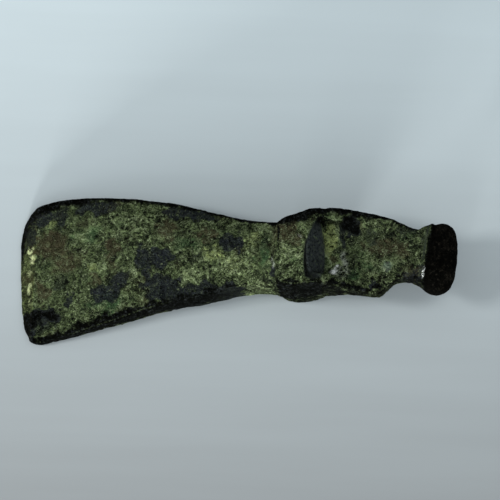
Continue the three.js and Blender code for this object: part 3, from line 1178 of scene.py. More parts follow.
@dataclass
class Casting:
    """The whole axe as one rough casting, later cut into its zones, in millimetres.

    Each node grows by the seam's closer, so that the voxels join them, and most of that
    growth is taken back at the end. The borders of all patches wander with two clouds.
    """

    space: AxeSpace
    zones: tuple[Zone, ...]
    rim_soot_and_shade: RimSootAndShade = RimSootAndShade()
    rounding: Rounding = Rounding()
    corrosion: Corrosion = Corrosion()
    hollows: Hollows = Hollows()
    joined: float = 0.002
    voxel: float = 0.32
    seam_closer: float = 0.24
    corner_limit: float = 2.0
    shrink: float = 0.7
    wander: float = 2.4
    wander_size: float = 3.4
    wander_octaves: int = 4
    wander_seeds: tuple[int, int] = (3, 4)

    def grown(self, mesh: bpy.types.Mesh) -> bpy.types.Mesh:
        """A copy of a CAD node, grown so that it reaches its neighbours.

        Args:
            mesh: the node's mesh.

        Returns:
            The grown copy.
        """
        piece = bmesh.new()
        piece.from_mesh(mesh)
        bmesh.ops.remove_doubles(piece, verts=piece.verts, dist=self.joined * MM)
        piece.normal_update()
        moves = [
            v.normal * min(v.calc_shell_factor(), self.corner_limit) * self.seam_closer * MM
            for v in piece.verts
        ]
        for vertex, move in zip(piece.verts, moves):
            vertex.co += move
        copy = bpy.data.meshes.new("copy")
        piece.to_mesh(copy)
        piece.free()
        return copy

    def weld(self) -> bpy.types.Object:
        """Joins copies of the CAD zones into one closed surface.

        Returns:
            The welded casting, without relief.
        """
        whole = bmesh.new()
        for node in frame["nodes"].values():
            copy = self.grown(node.data)
            whole.from_mesh(copy)
            bpy.data.meshes.remove(copy)
        mesh = bpy.data.meshes.new("casting")
        whole.to_mesh(mesh)
        whole.free()
        rough = bpy.data.objects.new("casting", mesh)
        bpy.context.scene.collection.objects.link(rough)
        remesh = rough.modifiers.new("weld", "REMESH")
        remesh.mode = "VOXEL"
        remesh.voxel_size = self.voxel * MM
        graph = bpy.context.evaluated_depsgraph_get()
        welded = bpy.data.meshes.new_from_object(rough.evaluated_get(graph))
        rough.modifiers.clear()
        rough.data = welded
        bpy.data.meshes.remove(mesh)
        return rough

    def skin_of(self, mesh: bpy.types.Mesh, points: np.ndarray) -> Skin:
        """Moves the mesh's vertices and reads the surface's arrays.

        Args:
            mesh: the casting's mesh.
            points: its vertices in metres.

        Returns:
            The skin of those points.
        """
        mesh.vertices.foreach_set("co", points.ravel())
        mesh.update()
        normals = np.empty(len(points) * 3)
        mesh.vertices.foreach_get("normal", normals)
        edges = np.empty(len(mesh.edges) * 2, dtype=np.int64)
        mesh.edges.foreach_get("vertices", edges)
        local = self.space.local(points)
        facing = self.space.facing(normals.reshape(-1, 3))
        return Skin(local, facing, edges.reshape(-1, 2))

    def warp(self, skin: Skin) -> Warp:
        """The wavering of all patches' borders.

        Args:
            skin: the surface.

        Returns:
            The wavering on it.
        """
        seeds = self.wander_seeds
        clouds = [skin.grain(self.wander_size, self.wander_octaves, seed) for seed in seeds]
        return Warp(*clouds).share(self.wander)

    def shape(self, casting: bpy.types.Object) -> Skin:
        """Rounds the welded casting, adds its relief and works out its masks.

        Args:
            casting: the welded casting, which is changed.

        Returns:
            The final surface.
        """
        mesh = casting.data
        points = np.empty(len(mesh.vertices) * 3)
        mesh.vertices.foreach_get("co", points)
        points = points.reshape(-1, 3)
        points = self.rounding.apply(points, self.skin_of(mesh, points))
        skin = self.skin_of(mesh, points)
        warp = self.warp(skin)
        for zone in self.zones:
            zone.stain(skin, warp)
        self.rim_soot_and_shade.stain(skin)
        height = self.corrosion.height(skin)
        for zone in self.zones:
            height = height + zone.relief(skin)
        height = height - self.seam_closer * self.shrink
        rough = points + self.space.normals(skin.facing) * (height * MM)[:, None]
        rough[:, 2] = np.maximum(rough[:, 2], 0)
        final = self.skin_of(mesh, rough)
        final.stains = skin.stains
        self.hollows.mark(final, rough, self.space.normals(final.facing))
        return final


@dataclass(frozen=True)
class Cut:
    """A plane through the axe.

    Args:
        point: a point on it, in the axe's millimetres.
        normal: the direction that points off its front.
    """

    point: Vector
    normal: Vector


@dataclass
class Zoning:
    """The planes between the CAD zones, read from the nodes, and the cutting itself.

    Args:
        space: the axe's own axes.
        touch: distance under which a vertex lies on a plane, in millimetres.
    """

    space: AxeSpace
    touch: float = 0.0005

    def corners(self, node: str) -> np.ndarray:
        """Vertices of a CAD node in the axe's millimetres."""
        data = frame["nodes"][node].data
        return self.space.local(np.array([v.co for v in data.vertices]))

    def cross(self, front: str, back: str) -> Cut:
        """The plane square to the axe between two zones.

        Args:
            front: the zone nearer the cutting edge.
            back: the zone behind it.

        Returns:
            The plane.
        """
        x = (self.corners(front)[:, 0].max() + self.corners(back)[:, 0].min()) / 2
        return Cut(Vector((x, 0, 0)), Vector((1, 0, 0)))

    def wall(self, ends: tuple[np.ndarray, np.ndarray], half_seam: float, side: int) -> Cut:
        """The upright plane between the septum and the flanges of one side.

        Args:
            ends: corners at the septum's front and back end, on that side.
            half_seam: half the gap between zones, in millimetres.
            side: one for the far side, minus one for the near side.

        Returns:
            The plane.
        """
        front, back = ends
        run = Vector((back[0] - front[0], back[1] - front[1], 0)).normalized()
        out = Vector((-run.y, run.x, 0)) * side
        start = Vector((front[0], front[1], 0)) + out * half_seam
        return Cut(start, out)

    def planes(self) -> dict[str, Cut]:
        """All planes between zones, in the axe's millimetres.

        Returns:
            The planes by name.
        """
        bed, neck, butt = (self.corners(name) for name in ("septum", "neck", "butt_end"))
        halves = (bed[bed[:, 1] > 0], bed[bed[:, 1] < 0])
        sides = [half[half[:, 0].argsort()] for half in halves]
        far, near = ((side[0], side[-1]) for side in sides)
        slant = (far[1][0] - near[1][0]) / (far[1][1] - near[1][1])
        raked = Vector((1, -slant, 0)).normalized()
        off = neck[:, 0] - slant * neck[:, 1]
        half_seam = abs(off.min() - (far[1][0] - slant * far[1][1])) / 2
        notch = (off.min() + far[1][0] - slant * far[1][1]) / 2
        rim = (off.max() + (butt[:, 0] - slant * butt[:, 1]).min()) / 2
        return {
            "bevel": self.cross("cutting_edge", "blade"),
            "step": self.cross("blade", "stop_ridge"),
            "foot": self.cross("stop_ridge", "septum"),
            "notch": Cut(Vector((notch, 0, 0)), raked),
            "rim": Cut(Vector((rim, 0, 0)), raked),
            "far": self.wall(far, half_seam, 1),
            "near": self.wall(near, half_seam, -1),
            "middle": Cut(Vector((0, 0, 0)), Vector((0, 0, 1))),
        }

    def split(self, body: bmesh.types.BMesh, cut: Cut) -> tuple[bmesh.types.BMesh, ...]:
        """Cuts a closed body in two closed bodies.

        Args:
            body: the body, which is used up.
            cut: the plane.

        Returns:
            The part ahead of the plane and the part behind it.
        """
        point = self.space.world(cut.point)
        normal = self.space.world_direction(cut.normal)
        halves = []
        for behind in (False, True):
            half = body.copy()
            done = bmesh.ops.bisect_plane(
                half,
                geom=half.verts[:] + half.edges[:] + half.faces[:],
                dist=self.touch * MM,
                plane_co=point,
                plane_no=normal,
                clear_inner=behind,
                clear_outer=not behind,
            )
            rim = [e for e in done["geom_cut"] if isinstance(e, bmesh.types.BMEdge)]
            rim = [e for e in rim if e.is_valid and e.is_boundary]
            caps = bmesh.ops.triangle_fill(half, edges=rim, use_beauty=False)
            for face in caps["geom"]:
                if isinstance(face, bmesh.types.BMFace):
                    face.smooth = False
                    for edge in face.edges:
                        edge.smooth = False
            bmesh.ops.recalc_face_normals(half, faces=half.faces[:])
            halves.append(half)
        body.free()
        return tuple(halves)

    def pieces(self, body: bmesh.types.BMesh) -> dict[str, bmesh.types.BMesh]:
        """Cuts the whole casting into its named zones.

        Args:
            body: the casting, which is used up.

        Returns:
            One closed body for each CAD node's name.
        """
        planes = self.planes()
        found: dict[str, bmesh.types.BMesh] = {}
        front, back = self.split(body, planes["step"])
        found["cutting_edge"], found["blade"] = self.split(front, planes["bevel"])
        found["stop_ridge"], back = self.split(back, planes["foot"])
        bed, back = self.split(back, planes["notch"])
        found["neck"], found["butt_end"] = self.split(back, planes["rim"])
        bed, far = self.split(bed, planes["far"])
        found["septum"], near = self.split(bed, planes["near"])
        for side, wall in (("far", far), ("near", near)):
            lower, upper = self.split(wall, planes["middle"])
            found[f"flange_{side}_lower"] = lower
            found[f"flange_{side}_upper"] = upper
        return found


class Nodes:
    """Small helper that adds shader nodes to a tree and links them."""

    def __init__(self, tree: bpy.types.NodeTree) -> None:
        """Keeps the tree and empties it."""
        self.tree = tree
        tree.nodes.clear()

    def add(self, kind: str, **values: object) -> bpy.types.Node:
        """Adds a node and sets its properties, or its sockets by their names.

        Args:
            kind: the node's type.
            values: properties, or sockets with spaces written as underscores.

        Returns:
            The new node.
        """
        node = self.tree.nodes.new(kind)
        for name, value in values.items():
            if hasattr(node, name):
                setattr(node, name, value)
            else:
                self.feed(node.inputs[name.replace("_", " ")], value)
        return node

    def feed(self, socket: Socket, value: object) -> None:
        """Links a socket to a value, or writes the value into it.

        Args:
            socket: the input.
            value: an output socket, a number or a colour.
        """
        if isinstance(value, Socket):
            self.tree.links.new(value, socket)
        else:
            socket.default_value = value

    def stain(self, stain: Stain) -> Socket:
        """The value of a mask of the surface."""
        node = self.add("ShaderNodeAttribute", attribute_name=stain.value)
        return node.outputs["Fac"]

    def mix(self, share: object, low: object, high: object) -> Socket:
        """Mixes two colours.

        Args:
            share: a socket or number for the second colour's share.
            low: the first colour, as a socket or a tuple.
            high: the second colour, as a socket or a tuple.

        Returns:
            The mixed colour.
        """
        node = self.add("ShaderNodeMix", data_type="RGBA")
        for number, value in ((0, share), (6, low), (7, high)):
            self.feed(node.inputs[number], value)
        return node.outputs[2]

    def cloud(
        self, place: Socket, scale: float, detail: float, roughness: float, curl: float = 0.0
    ) -> Socket:
        """Cloudy noise.

        Args:
            place: coordinates.
            scale: how dense the clouds are.
            detail: how many finer clouds are added.
            roughness: how strong the finer ones are.
            curl: how strongly they curl.

        Returns:
            Values around one half.
        """
        node = self.add(
            "ShaderNodeTexNoise",
            Vector=place,
            Scale=scale,
            Detail=detail,
            Roughness=roughness,
            Distortion=curl,
        )
        return node.outputs["Fac"]

    def math(self, how: str, first: object, second: object = 0.0, third: object = 0.0) -> Socket:
        """A sum, product or other operation on up to three numbers.

        Args:
            how: the operation.
            first: the first number or socket.
            second: the second number or socket.
            third: the third number or socket, which a product is added to.

        Returns:
            The result.
        """
        node = self.add("ShaderNodeMath", operation=how)
        for socket, value in zip(node.inputs, (first, second, third)):
            self.feed(socket, value)
        return node.outputs[0]

    def centred(self, value: Socket) -> Socket:
        """Noise around zero."""
        return self.math("SUBTRACT", value, MIDDLE)

    def times(self, first: object, second: object) -> Socket:
        """A product."""
        return self.math("MULTIPLY", first, second)

    def total(self, start: object, *parts: tuple[Socket, float]) -> Socket:
        """A sum.

        Args:
            start: a number or socket.
            parts: pairs of a socket and its gain, which are added to it in turn.

        Returns:
            The result.
        """
        for value, gain in parts:
            start = self.math("MULTIPLY_ADD", value, gain, start)
        return start

    def ramp(self, value: object, low: float, high: float) -> Socket:
        """Rises smoothly from zero to one between two values.

        Args:
            value: the number or socket.
            low: where the rise begins.
            high: where it ends.

        Returns:
            The result.
        """
        node = self.add("ShaderNodeMapRange", interpolation_type="SMOOTHSTEP")
        for name, number in (("Value", value), ("From Min", low), ("From Max", high)):
            self.feed(node.inputs[name], number)
        return node.outputs["Result"]

    def torn(self, stain: Stain, cloud: Socket, gain: float, low: float, high: float) -> Socket:
        """A mask of the surface with a border that noise tears.

        Args:
            stain: the mask.
            cloud: the noise.
            gain: how strongly it tears the mask.
            low: sum of both at which the mask begins to show.
            high: sum at which it shows fully.

        Returns:
            Values from zero to one.
        """
        return self.ramp(self.total(self.stain(stain), (cloud, gain)), low, high)


@dataclass(frozen=True)
class Colours:
    """The skin's colours.

    Args:
        deep: hollows, the black deposit and painted shade.
        shade: the darkest patina.
        base: the patina's main colour.
        light: its raised grain.
        powder: its palest specks and strokes.
        cool: its cooler green parts.
        moss: its yellower parts, also painted light on the shaded bed.
        patch: the dark patches.
        brown: the brown patches.
        slate: the smooth slopes of the stop.
        glint: painted highlights on bare spots.
        sheen: painted white highlights, where the skin looks wet.
    """

    deep: Screen
    shade: Screen
    base: Screen
    light: Screen
    powder: Screen
    cool: Screen
    moss: Screen
    patch: Screen
    brown: Screen
    slate: Screen
    glint: Screen
    sheen: Screen

    @classmethod
    def names(cls) -> list[str]:
        """The colours' names, as the shared skin's inputs have them."""
        return [f.name.capitalize() for f in fields(cls)]


@dataclass(frozen=True)
class Hair:
    """Thin curled lines, which run where a cloud has its middle value.

    Args:
        scale: how dense they are, per metre.
        curl: how strongly they curl.
        width: their width, as a range of the cloud's values.
        detail: how many finer turns they have.
        fineness: how strong those are.
    """

    scale: float
    curl: float
    width: float = 0.045
    detail: float = 2
    fineness: float = 0.5

    def build(self, nodes: Nodes, place: Socket) -> Socket:
        """Makes the lines.

        Args:
            nodes: the tree's helper.
            place: coordinates.

        Returns:
            One on the lines, zero between them.
        """
        cloud = nodes.cloud(place, self.scale, self.detail, self.fineness, self.curl)
        away = nodes.math("ABSOLUTE", nodes.centred(cloud))
        return nodes.math("SUBTRACT", 1.0, nodes.ramp(away, 0.0, self.width))


@dataclass(frozen=True)
class Flock:
    """Thin curled lines that show only in the thick of some clouds.

    Args:
        hair: the lines.
        clouds: scale of the clouds, per metre.
        shown: the clouds' values between which the lines appear.
    """

    hair: Hair
    clouds: float
    shown: Range

    def build(self, nodes: Nodes, place: Socket, calm: Socket) -> Socket:
        """Makes the lines.

        Args:
            nodes: the tree's helper.
            place: coordinates.
            calm: how strongly they show on each part of the surface.

        Returns:
            One on the lines, zero between them.
        """
        lines = self.hair.build(nodes, place)
        cloud = nodes.cloud(place, self.clouds, self.hair.detail, self.hair.fineness)
        return nodes.times(nodes.times(lines, nodes.ramp(cloud, *self.shown)), calm)


@dataclass(frozen=True)
class Weave:
    """Noise and masks of the corroded skin, as sockets of its tree.

    Args:
        tint: broad noise of the colours.
        mottle: noise of the grain's clumps.
        fine: fine noise.
        strokes: pale curled strokes.
        cracks: dark curled cracks.
        waver: how much paler or darker the grain is.
        tone: from zero, dark, to one, pale.
        torn: mask of the dark patches.
        soot_and_shade: mask of the black deposit and of painted shade.
        grain: noise of pores and scale.
    """

    tint: Socket
    mottle: Socket
    fine: Socket
    strokes: Socket
    cracks: Socket
    waver: Socket
    tone: Socket
    torn: Socket
    soot_and_shade: Socket
    grain: Socket


@dataclass(frozen=True)
class PatinaGroup:
    """The corroded skin that all finishes share, as one shader node group.

    Clouds hold their scale per metre, detail, roughness and curl. A gain says how strongly
    a noise or mask changes the tone, a share how far a colour covers what lies below it,
    and the tones where it shows. Heights are in the bump's unit.
    """

    name: str = "Corroded bronze skin"
    clouds: tuple[float, ...] = (150.0, 4, 0.6)
    tint: tuple[float, ...] = (110.0, 3, 0.55)
    mottle: tuple[float, ...] = (380.0, 2, 0.5, 1.6)
    fine: tuple[float, ...] = (1100.0, 2, 0.6, 0.8)
    pale_hair: Hair = Hair(400.0, 2.4)
    dark_hair: Hair = Hair(548.0, 1.6)
    strokes: Flock = Flock(Hair(560.0, 1.4), 616.0, (0.5, 0.57))
    cracks: Flock = Flock(Hair(448.0, 2.2), 336.0, (0.48, 0.58))
    calm: float = 0.78
    mottle_gain: float = 1.65
    fine_gain: float = 0.5
    cloud_gain: float = 1.05
    pale_gain: float = 0.44
    dark_gain: float = -0.46
    mask_gains: tuple[float, float, float] = (0.26, 0.12, -0.1)
    tones: tuple[tuple[str, float, float], ...] = (
        ("Shade", 0.08, 0.26),
        ("Base", 0.26, 0.48),
        ("Light", 0.5, 0.76),
        ("Powder", 0.78, 1.0),
    )
    cool: Border = (2.2, 0.12, 0.9)
    cool_tones: Range = (0.2, 0.5)
    cool_share: float = 0.8
    moss: Border = (1.2, 0.3, 1.1)
    moss_tones: Range = (0.2, 0.6)
    moss_share: float = 0.8
    brown: Border = (-2.2, 0.08, 0.7)
    brown_share: float = 0.75
    patch: Border = (0.9, 0.3, 0.8)
    patch_share: float = 0.88
    stroke_share: float = 0.85
    stroke_loss: float = -0.65
    crack_share: float = 0.85
    hollow_share: float = 0.7
    slate_share: float = 0.9
    grain_mottle: float = 0.5
    patch_grain: float = 0.6
    pores: Range = (-0.05, 0.2)
    pore_share: float = 0.85
    scale: Range = (-0.08, -0.25)
    scale_share: float = 0.7
    soot_and_shade: Border = (-0.35, 0.05, 0.95)
    flecks: Range = (0.0, 0.3)
    fleck_share: float = 0.5
    glint_tones: Range = (0.32, 0.62)
    sheen_tones: Range = (0.3, 0.55)
    rough_fine: float = 0.5
    rough_patch: float = -0.06
    rough_smooth: float = -0.2
    least_rough: float = 0.12
    wetness: float = 0.8
    patch_height: float = -0.15
    stroke_height: float = 0.4
    crack_height: float = -0.5

    def weave(self, nodes: Nodes) -> Weave:
        """Makes the skin's noise and masks.

        Args:
            nodes: the tree's helper.

        Returns:
            Their sockets.
        """
        place = nodes.add("ShaderNodeTexCoord").outputs["Object"]
        noises = (self.clouds, self.tint, self.mottle, self.fine)
        clouds, tint, mottle, fine = (nodes.centred(nodes.cloud(place, *n)) for n in noises)
        smooth = nodes.times(nodes.stain(Stain.SMOOTH), self.calm)
        calm = nodes.math("SUBTRACT", 1.0, smooth)
        waver = nodes.total(
            nodes.times(mottle, self.mottle_gain),
            (fine, self.fine_gain),
            (clouds, self.cloud_gain),
            (self.pale_hair.build(nodes, place), self.pale_gain),
            (self.dark_hair.build(nodes, place), self.dark_gain),
        )
        waver = nodes.times(waver, calm)
        masks = [nodes.stain(stain) for stain in (Stain.BRIGHT, Stain.RIDGE, Stain.DARK)]
        tone = nodes.total(waver, *zip(masks, self.mask_gains))
        return Weave(
            tint=tint,
            mottle=mottle,
            fine=fine,
            strokes=self.strokes.build(nodes, place, calm),
            cracks=self.cracks.build(nodes, place, calm),
            waver=waver,
            tone=nodes.math("ADD", tone, MIDDLE),
            torn=nodes.torn(Stain.DARK, waver, *self.patch),
            soot_and_shade=nodes.torn(Stain.SOOT_AND_SHADE, waver, *self.soot_and_shade),
            grain=nodes.total(fine, (mottle, self.grain_mottle)),
        )

    def colour(self, nodes: Nodes, weave: Weave, given: bpy.types.bpy_prop_collection) -> Socket:
        """Mixes the skin's colour, apart from the painted highlights of glints and sheen.

        Args:
            nodes: the tree's helper.
            weave: its noise and masks.
            given: the group's inputs, with the colours.

        Returns:
            The colour.
        """
        cool = nodes.torn(Stain.COOL, weave.tint, *self.cool)
        moss = nodes.torn(Stain.MOSS, weave.mottle, *self.moss)
        slate = nodes.stain(Stain.SLATE)
        calmed = nodes.math("MAXIMUM", slate, nodes.times(weave.torn, self.patch_grain))
        stroke_share = nodes.total(self.stroke_share, (weave.torn, self.stroke_loss))
        layers = (
            (nodes.times(cool, nodes.ramp(weave.tone, *self.cool_tones)), self.cool_share, "Cool"),
            (nodes.times(moss, nodes.ramp(weave.tone, *self.moss_tones)), self.moss_share, "Moss"),
            (nodes.torn(Stain.BROWN, weave.tint, *self.brown), self.brown_share, "Brown"),
            (weave.torn, self.patch_share, "Patch"),
            (weave.strokes, stroke_share, "Powder"),
            (weave.cracks, self.crack_share, "Deep"),
            (nodes.stain(Stain.CAVITY), self.hollow_share, "Deep"),
            (slate, self.slate_share, "Slate"),
            (nodes.times(nodes.ramp(weave.grain, *self.pores), calmed), self.pore_share, "Deep"),
            (nodes.times(nodes.ramp(weave.grain, *self.scale), calmed), self.scale_share, "Light"),
        )
        colour = given["Deep"]
        for name, low, high in self.tones:
            colour = nodes.mix(nodes.ramp(weave.tone, low, high), colour, given[name])
        for mask, share, name in layers:
            colour = nodes.mix(nodes.times(mask, share), colour, given[name])
        flecks = nodes.times(nodes.ramp(weave.grain, *self.flecks), self.fleck_share)
        return nodes.mix(weave.soot_and_shade, colour, nodes.mix(flecks, given["Deep"], given["Slate"]))

    def build(self) -> bpy.types.NodeTree:
        """Makes the group.

        Returns:
            A node tree with colour and gloss inputs, and colour, roughness, coat and
            height outputs.
        """
        tree = bpy.data.node_groups.new(self.name, "ShaderNodeTree")
        nodes = Nodes(tree)
        sockets = [(name, "INPUT", "Color") for name in Colours.names()]
        sockets += [("Gloss", "INPUT", "Float"), ("Color", "OUTPUT", "Color")]
        sockets += [(name, "OUTPUT", "Float") for name in ("Roughness", "Coat", "Height")]
        for name, side, kind in sockets:
            tree.interface.new_socket(name, in_out=side, socket_type=f"NodeSocket{kind}")
        given = nodes.add("NodeGroupInput").outputs
        weave = self.weave(nodes)
        shine = nodes.ramp(weave.tone, *self.glint_tones)
        shine = nodes.times(nodes.stain(Stain.GLINT), shine)
        painted_sheen = nodes.times(nodes.stain(Stain.SHEEN), nodes.ramp(weave.tone, *self.sheen_tones))
        colour = nodes.mix(shine, self.colour(nodes, weave, given), given["Glint"])
        rough = nodes.total(
            given["Gloss"],
            (weave.fine, self.rough_fine),
            (weave.torn, self.rough_patch),
            (nodes.stain(Stain.SMOOTH), self.rough_smooth),
        )
        open_skin = nodes.math("SUBTRACT", 1.0, weave.soot_and_shade)
        coat = nodes.times(nodes.math("MAXIMUM", shine, painted_sheen), open_skin)
        height = nodes.total(
            weave.waver,
            (weave.torn, self.patch_height),
            (weave.strokes, self.stroke_height),
            (weave.cracks, self.crack_height),
        )
        nodes.add(
            "NodeGroupOutput",
            Color=nodes.mix(painted_sheen, colour, given["Sheen"]),
            Roughness=nodes.math("MAXIMUM", rough, self.least_rough),
            Coat=nodes.times(coat, self.wetness),
            Height=height,
        )
        return tree


@dataclass(frozen=True)
class Finish:
    """One of the axe's finishes: the shared skin with its own colours.

    Args:
        slot: the record's material slot.
        colours: its colours.
        roughness: mean roughness.
        specular: how strongly it mirrors.
        metallic: how metallic the skin looks.
        bump: depth of the fine grain, in millimetres.
        wet_roughness: roughness of the coat on the painted glints and sheen.
    """

    slot: Slot
    colours: Colours
    roughness: float
    specular: float
    metallic: float
    bump: float
    wet_roughness: float = 0.35

    def material(self, group: bpy.types.NodeTree) -> bpy.types.Material:
        """Builds the material.

        Args:
            group: the shared skin.

        Returns:
            The material.
        """
        material = bpy.data.materials.new(self.slot.value)
        material.use_nodes = True
        nodes = Nodes(material.node_tree)
        skin = nodes.add("ShaderNodeGroup", node_tree=group)
        skin.inputs["Gloss"].default_value = self.roughness
        for name, colour in asdict(self.colours).items():
            skin.inputs[name.capitalize()].default_value = linear(colour)
        height = skin.outputs["Height"]
        bump = nodes.add("ShaderNodeBump", Strength=1.0, Distance=self.bump * MM, Height=height)
        shader = nodes.add(
            "ShaderNodeBsdfPrincipled",
            Metallic=self.metallic,
            Specular_IOR_Level=self.specular,
            Coat_Roughness=self.wet_roughness,
            Base_Color=skin.outputs["Color"],
            Roughness=skin.outputs["Roughness"],
            Coat_Weight=skin.outputs["Coat"],
            Normal=bump.outputs["Normal"],
        )
        nodes.add("ShaderNodeOutputMaterial", Surface=shader.outputs["BSDF"])
        return material


def linear(colour: Screen) -> tuple[float, ...]:
    """Screen colour as opaque linear light, by the usual curve of screens.

    Args:
        colour: red, green and blue as seen on a screen.

    Returns:
        Red, green, blue and alpha from zero to one.
    """
    shares = [c / 255 for c in colour]
    light = [s / 12.92 if s <= 0.04045 else ((s + 0.055) / 1.055) ** 2.4 for s in shares]
    return (*light, 1)


GREEN = Finish(
    slot=Slot.GREEN,
    colours=Colours(
        deep=(6, 7, 5),
        shade=(33, 39, 30),
        base=(60, 70, 47),
        light=(93, 108, 71),
        powder=(157, 173, 132),
        cool=(54, 82, 54),
        # Pale, so that the yellow patch on the bed also paints light where the stop shades it.
        moss=(154, 168, 106),
        patch=(38, 42, 47),
        brown=(66, 62, 46),
        slate=(63, 68, 71),
        glint=(176, 188, 132),
        sheen=(240, 246, 244),
    ),
    roughness=0.8,
    specular=0.01,
    metallic=0.0,
    bump=0.9,
)
GROUND = Finish(
    slot=Slot.GROUND,
    colours=Colours(
        deep=(7, 8, 5),
        shade=(32, 36, 26),
        base=(52, 59, 37),
        light=(82, 93, 56),
        powder=(134, 147, 102),
        cool=(54, 74, 48),
        moss=(100, 112, 50),
        patch=(33, 37, 38),
        brown=(60, 56, 38),
        slate=(58, 63, 70),
        glint=(200, 211, 154),
        sheen=(240, 246, 240),
    ),
    roughness=0.7,
    specular=0.03,
    metallic=0.05,
    bump=0.5,
)
DARK = Finish(
    slot=Slot.DARK,
    colours=Colours(
        deep=(4, 4, 3),
        shade=(5, 5, 4),
        base=(7, 8, 6),
        light=(15, 14, 12),
        powder=(48, 45, 38),
        cool=(12, 14, 10),
        moss=(22, 22, 14),
        patch=(8, 8, 8),
        brown=(14, 13, 11),
        slate=(20, 20, 20),
        glint=(60, 60, 50),
        sheen=(90, 94, 94),
    ),
    roughness=0.8,
    specular=0.01,
    metallic=0.0,
    bump=0.4,
)
FINISHES = {"cutting_edge": GROUND, "butt_end": DARK}


@dataclass(frozen=True)
class Lamp:
    """A soft rectangular lamp that points at the axe.

    Args:
        name: its name.
        heading: where it stands, in degrees from the frame's X axis.
        elevation: how high it stands, in degrees.
        distance: how far it stands, in metres.
        wide: its width in metres.
        high: its height in metres.
        power: its power in watts.
        colour: its colour, as linear light.
    """

    name: str
    heading: float
    elevation: float
    distance: float
    wide: float
    high: float
    power: float
    colour: tuple[float, float, float] = (1.0, 0.99, 0.96)

    def place(self) -> None:
        """Adds the lamp to the scene."""
        light = bpy.data.lights.new(self.name, "AREA")
        light.shape = "RECTANGLE"
        light.size = self.wide
        light.size_y = self.high
        light.energy = self.power
        light.color = self.colour
        lamp = bpy.data.objects.new(self.name, light)
        heading, elevation = math.radians(self.heading), math.radians(self.elevation)
        flat = math.cos(elevation)
        level = (flat * math.cos(heading), flat * math.sin(heading))
        direction = Vector((*level, math.sin(elevation)))
        lamp.location = direction * self.distance
        lamp.rotation_euler = direction.to_track_quat("Z", "Y").to_euler()
        bpy.context.scene.collection.objects.link(lamp)


@dataclass(frozen=True)
class Floor:
    """A pale floor, darker towards the viewer as painted shade, with faint smears along it.

    The smears' noise holds its scale, detail and roughness. Lengths are in metres.
    """

    half: float = 12.0
    smear_scale: tuple[float, float, float] = (5.0, 60.0, 1.0)
    smear_noise: tuple[float, float, float] = (1.0, 3, 0.6)
    smear_shift: float = 0.03
    slant: float = 0.02
    shading: Range = (-0.09, 0.1)
    near: Screen = (142, 147, 150)
    far: Screen = (198, 211, 217)
    roughness: float = 0.9
    specular: float = 0.1

    def material(self) -> bpy.types.Material:
        """Builds the floor's material.

        Returns:
            The material.
        """
        material = bpy.data.materials.new("pale floor")
        material.use_nodes = True
        nodes = Nodes(material.node_tree)
        place = nodes.add("ShaderNodeTexCoord").outputs["Object"]
        stretched = nodes.add("ShaderNodeMapping", Vector=place, Scale=self.smear_scale)
        smears = nodes.cloud(stretched.outputs["Vector"], *self.smear_noise)
        split = nodes.add("ShaderNodeSeparateXYZ", Vector=place).outputs
        slanted = nodes.total(split["Y"], (split["X"], self.slant))
        shade = nodes.total(slanted, (nodes.centred(smears), self.smear_shift))
        low, high = self.shading
        share = nodes.add("ShaderNodeMapRange", Value=shade, From_Min=low, From_Max=high)
        shader = nodes.add(
            "ShaderNodeBsdfPrincipled",
            Base_Color=nodes.mix(share.outputs["Result"], linear(self.near), linear(self.far)),
            Roughness=self.roughness,
            Specular_IOR_Level=self.specular,
        )
        nodes.add("ShaderNodeOutputMaterial", Surface=shader.outputs["BSDF"])
        return material

    def place(self) -> None:
        """Adds the floor to the scene."""
        sheet = bmesh.new()
        bmesh.ops.create_grid(sheet, x_segments=1, y_segments=1, size=self.half)
        mesh = bpy.data.meshes.new("floor")
        sheet.to_mesh(mesh)
        sheet.free()
        mesh.materials.append(self.material())
        floor = bpy.data.objects.new("floor", mesh)
        bpy.context.scene.collection.objects.link(floor)


@dataclass(frozen=True)
class Sky:
    """An even pale sky, strongest in front and fading with the angle from there."""

    colour: tuple[float, float, float, float] = (0.93, 0.98, 1.0, 1)
    bright: float = 0.78
    dark: float = 0.05
    front: tuple[float, float, float] = (0.05, -0.5, 0.865)
    fade: Range = (-0.3, 0.95)

    def place(self) -> None:
        """Gives the scene its sky."""
        world = bpy.data.worlds.new("sky")
        world.use_nodes = True
        nodes = Nodes(world.node_tree)
        toward = nodes.add("ShaderNodeVectorMath", operation="DOT_PRODUCT")
        nodes.feed(toward.inputs[0], nodes.add("ShaderNodeTexCoord").outputs["Generated"])
        nodes.feed(toward.inputs[1], self.front)
        share = nodes.ramp(toward.outputs["Value"], *self.fade)
        strength = nodes.total(self.dark, (share, self.bright - self.dark))
        sky = nodes.add("ShaderNodeBackground", Color=self.colour, Strength=strength)
        nodes.add("ShaderNodeOutputWorld", Surface=sky.outputs["Background"])
        bpy.context.scene.world = world


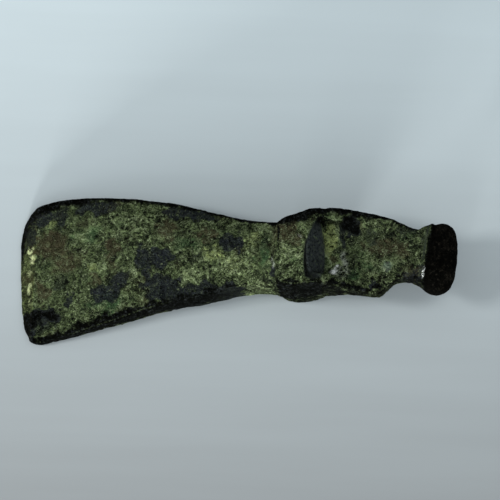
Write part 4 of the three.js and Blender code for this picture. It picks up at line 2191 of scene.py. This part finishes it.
@dataclass
class Studio:
    """Floor, lamps, sky and camera.

    Args:
        view: the photograph's camera.
    """

    view: PhotoView
    sensor: float = 36.0
    nearest: float = 0.01
    floor: Floor = Floor()
    lamps: tuple[Lamp, ...] = (
        Lamp("left lamp", 186.0, 46.0, 0.9, 0.2, 0.2, 3.6),
        Lamp("low front lamp", 254.0, 6.5, 1.0, 0.06, 0.16, 15.0),
        Lamp("high front lamp", 256.0, 30.0, 1.0, 0.06, 0.4, 1.4),
    )
    sky: Sky = Sky()

    def camera(self) -> None:
        """Places the camera at the photograph's view."""
        lens = bpy.data.cameras.new("camera")
        width = self.view.image / self.view.pixels_per_metre
        lens.sensor_width = self.sensor
        lens.lens = self.sensor * self.view.distance / width
        lens.clip_start = self.nearest
        camera = bpy.data.objects.new("camera", lens)
        axes = Matrix((self.view.right, self.view.up, self.view.toward)).transposed()
        place = self.view.target + self.view.toward * self.view.distance
        camera.matrix_world = Matrix.Translation(place) @ axes.to_4x4()
        bpy.context.scene.collection.objects.link(camera)
        bpy.context.scene.camera = camera

    def build(self) -> None:
        """Places the camera, the floor, the lamps and the sky."""
        self.camera()
        for thing in (self.floor, *self.lamps, self.sky):
            thing.place()
        bpy.context.scene.view_settings.view_transform = "Standard"


@dataclass
class Palstave:
    """The finished axe head: the casting cut into zones, each with its finish.

    Args:
        casting: the rough casting.
        zoning: the planes between zones.
    """

    casting: Casting
    zoning: Zoning

    def body(self) -> bmesh.types.BMesh:
        """The whole casting with its masks, smooth all over.

        Returns:
            The closed body.
        """
        rough = self.casting.weld()
        skin = self.casting.shape(rough)
        for stain in Stain:
            layer = rough.data.attributes.new(stain.value, "FLOAT", "POINT")
            layer.data.foreach_set("value", skin.stains[stain].astype(np.float32))
        body = bmesh.new()
        body.from_mesh(rough.data)
        for face in body.faces:
            face.smooth = True
        bpy.data.objects.remove(rough)
        return body

    def build(self) -> None:
        """Makes every visible piece, hides its CAD node and hangs it on the root body."""
        body = self.body()
        group = PatinaGroup().build()
        made = {finish.slot: finish.material(group) for finish in (GREEN, GROUND, DARK)}
        for name, piece in self.zoning.pieces(body).items():
            finish = FINISHES.get(name, GREEN)
            mesh = bpy.data.meshes.new(f"{name}_skin")
            piece.to_mesh(mesh)
            piece.free()
            mesh.materials.append(made[finish.slot])
            shown = bpy.data.objects.new(f"{name}_skin", mesh)
            bpy.context.scene.collection.objects.link(shown)
            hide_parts(name)
            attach(shown, "root")
            LOG.info("%s: %d faces", shown.name, len(mesh.polygons))


def main() -> None:
    """Builds the axe and its studio."""
    logging.basicConfig(level=logging.INFO, format="%(name)s: %(message)s")
    space = AxeSpace.from_frame()
    Studio(PhotoView()).build()
    zones = (Blade(), StopRidge(), HaftBed(), Butt())
    Palstave(Casting(space, zones), Zoning(space)).build()


if __name__ == "__main__":
    main()
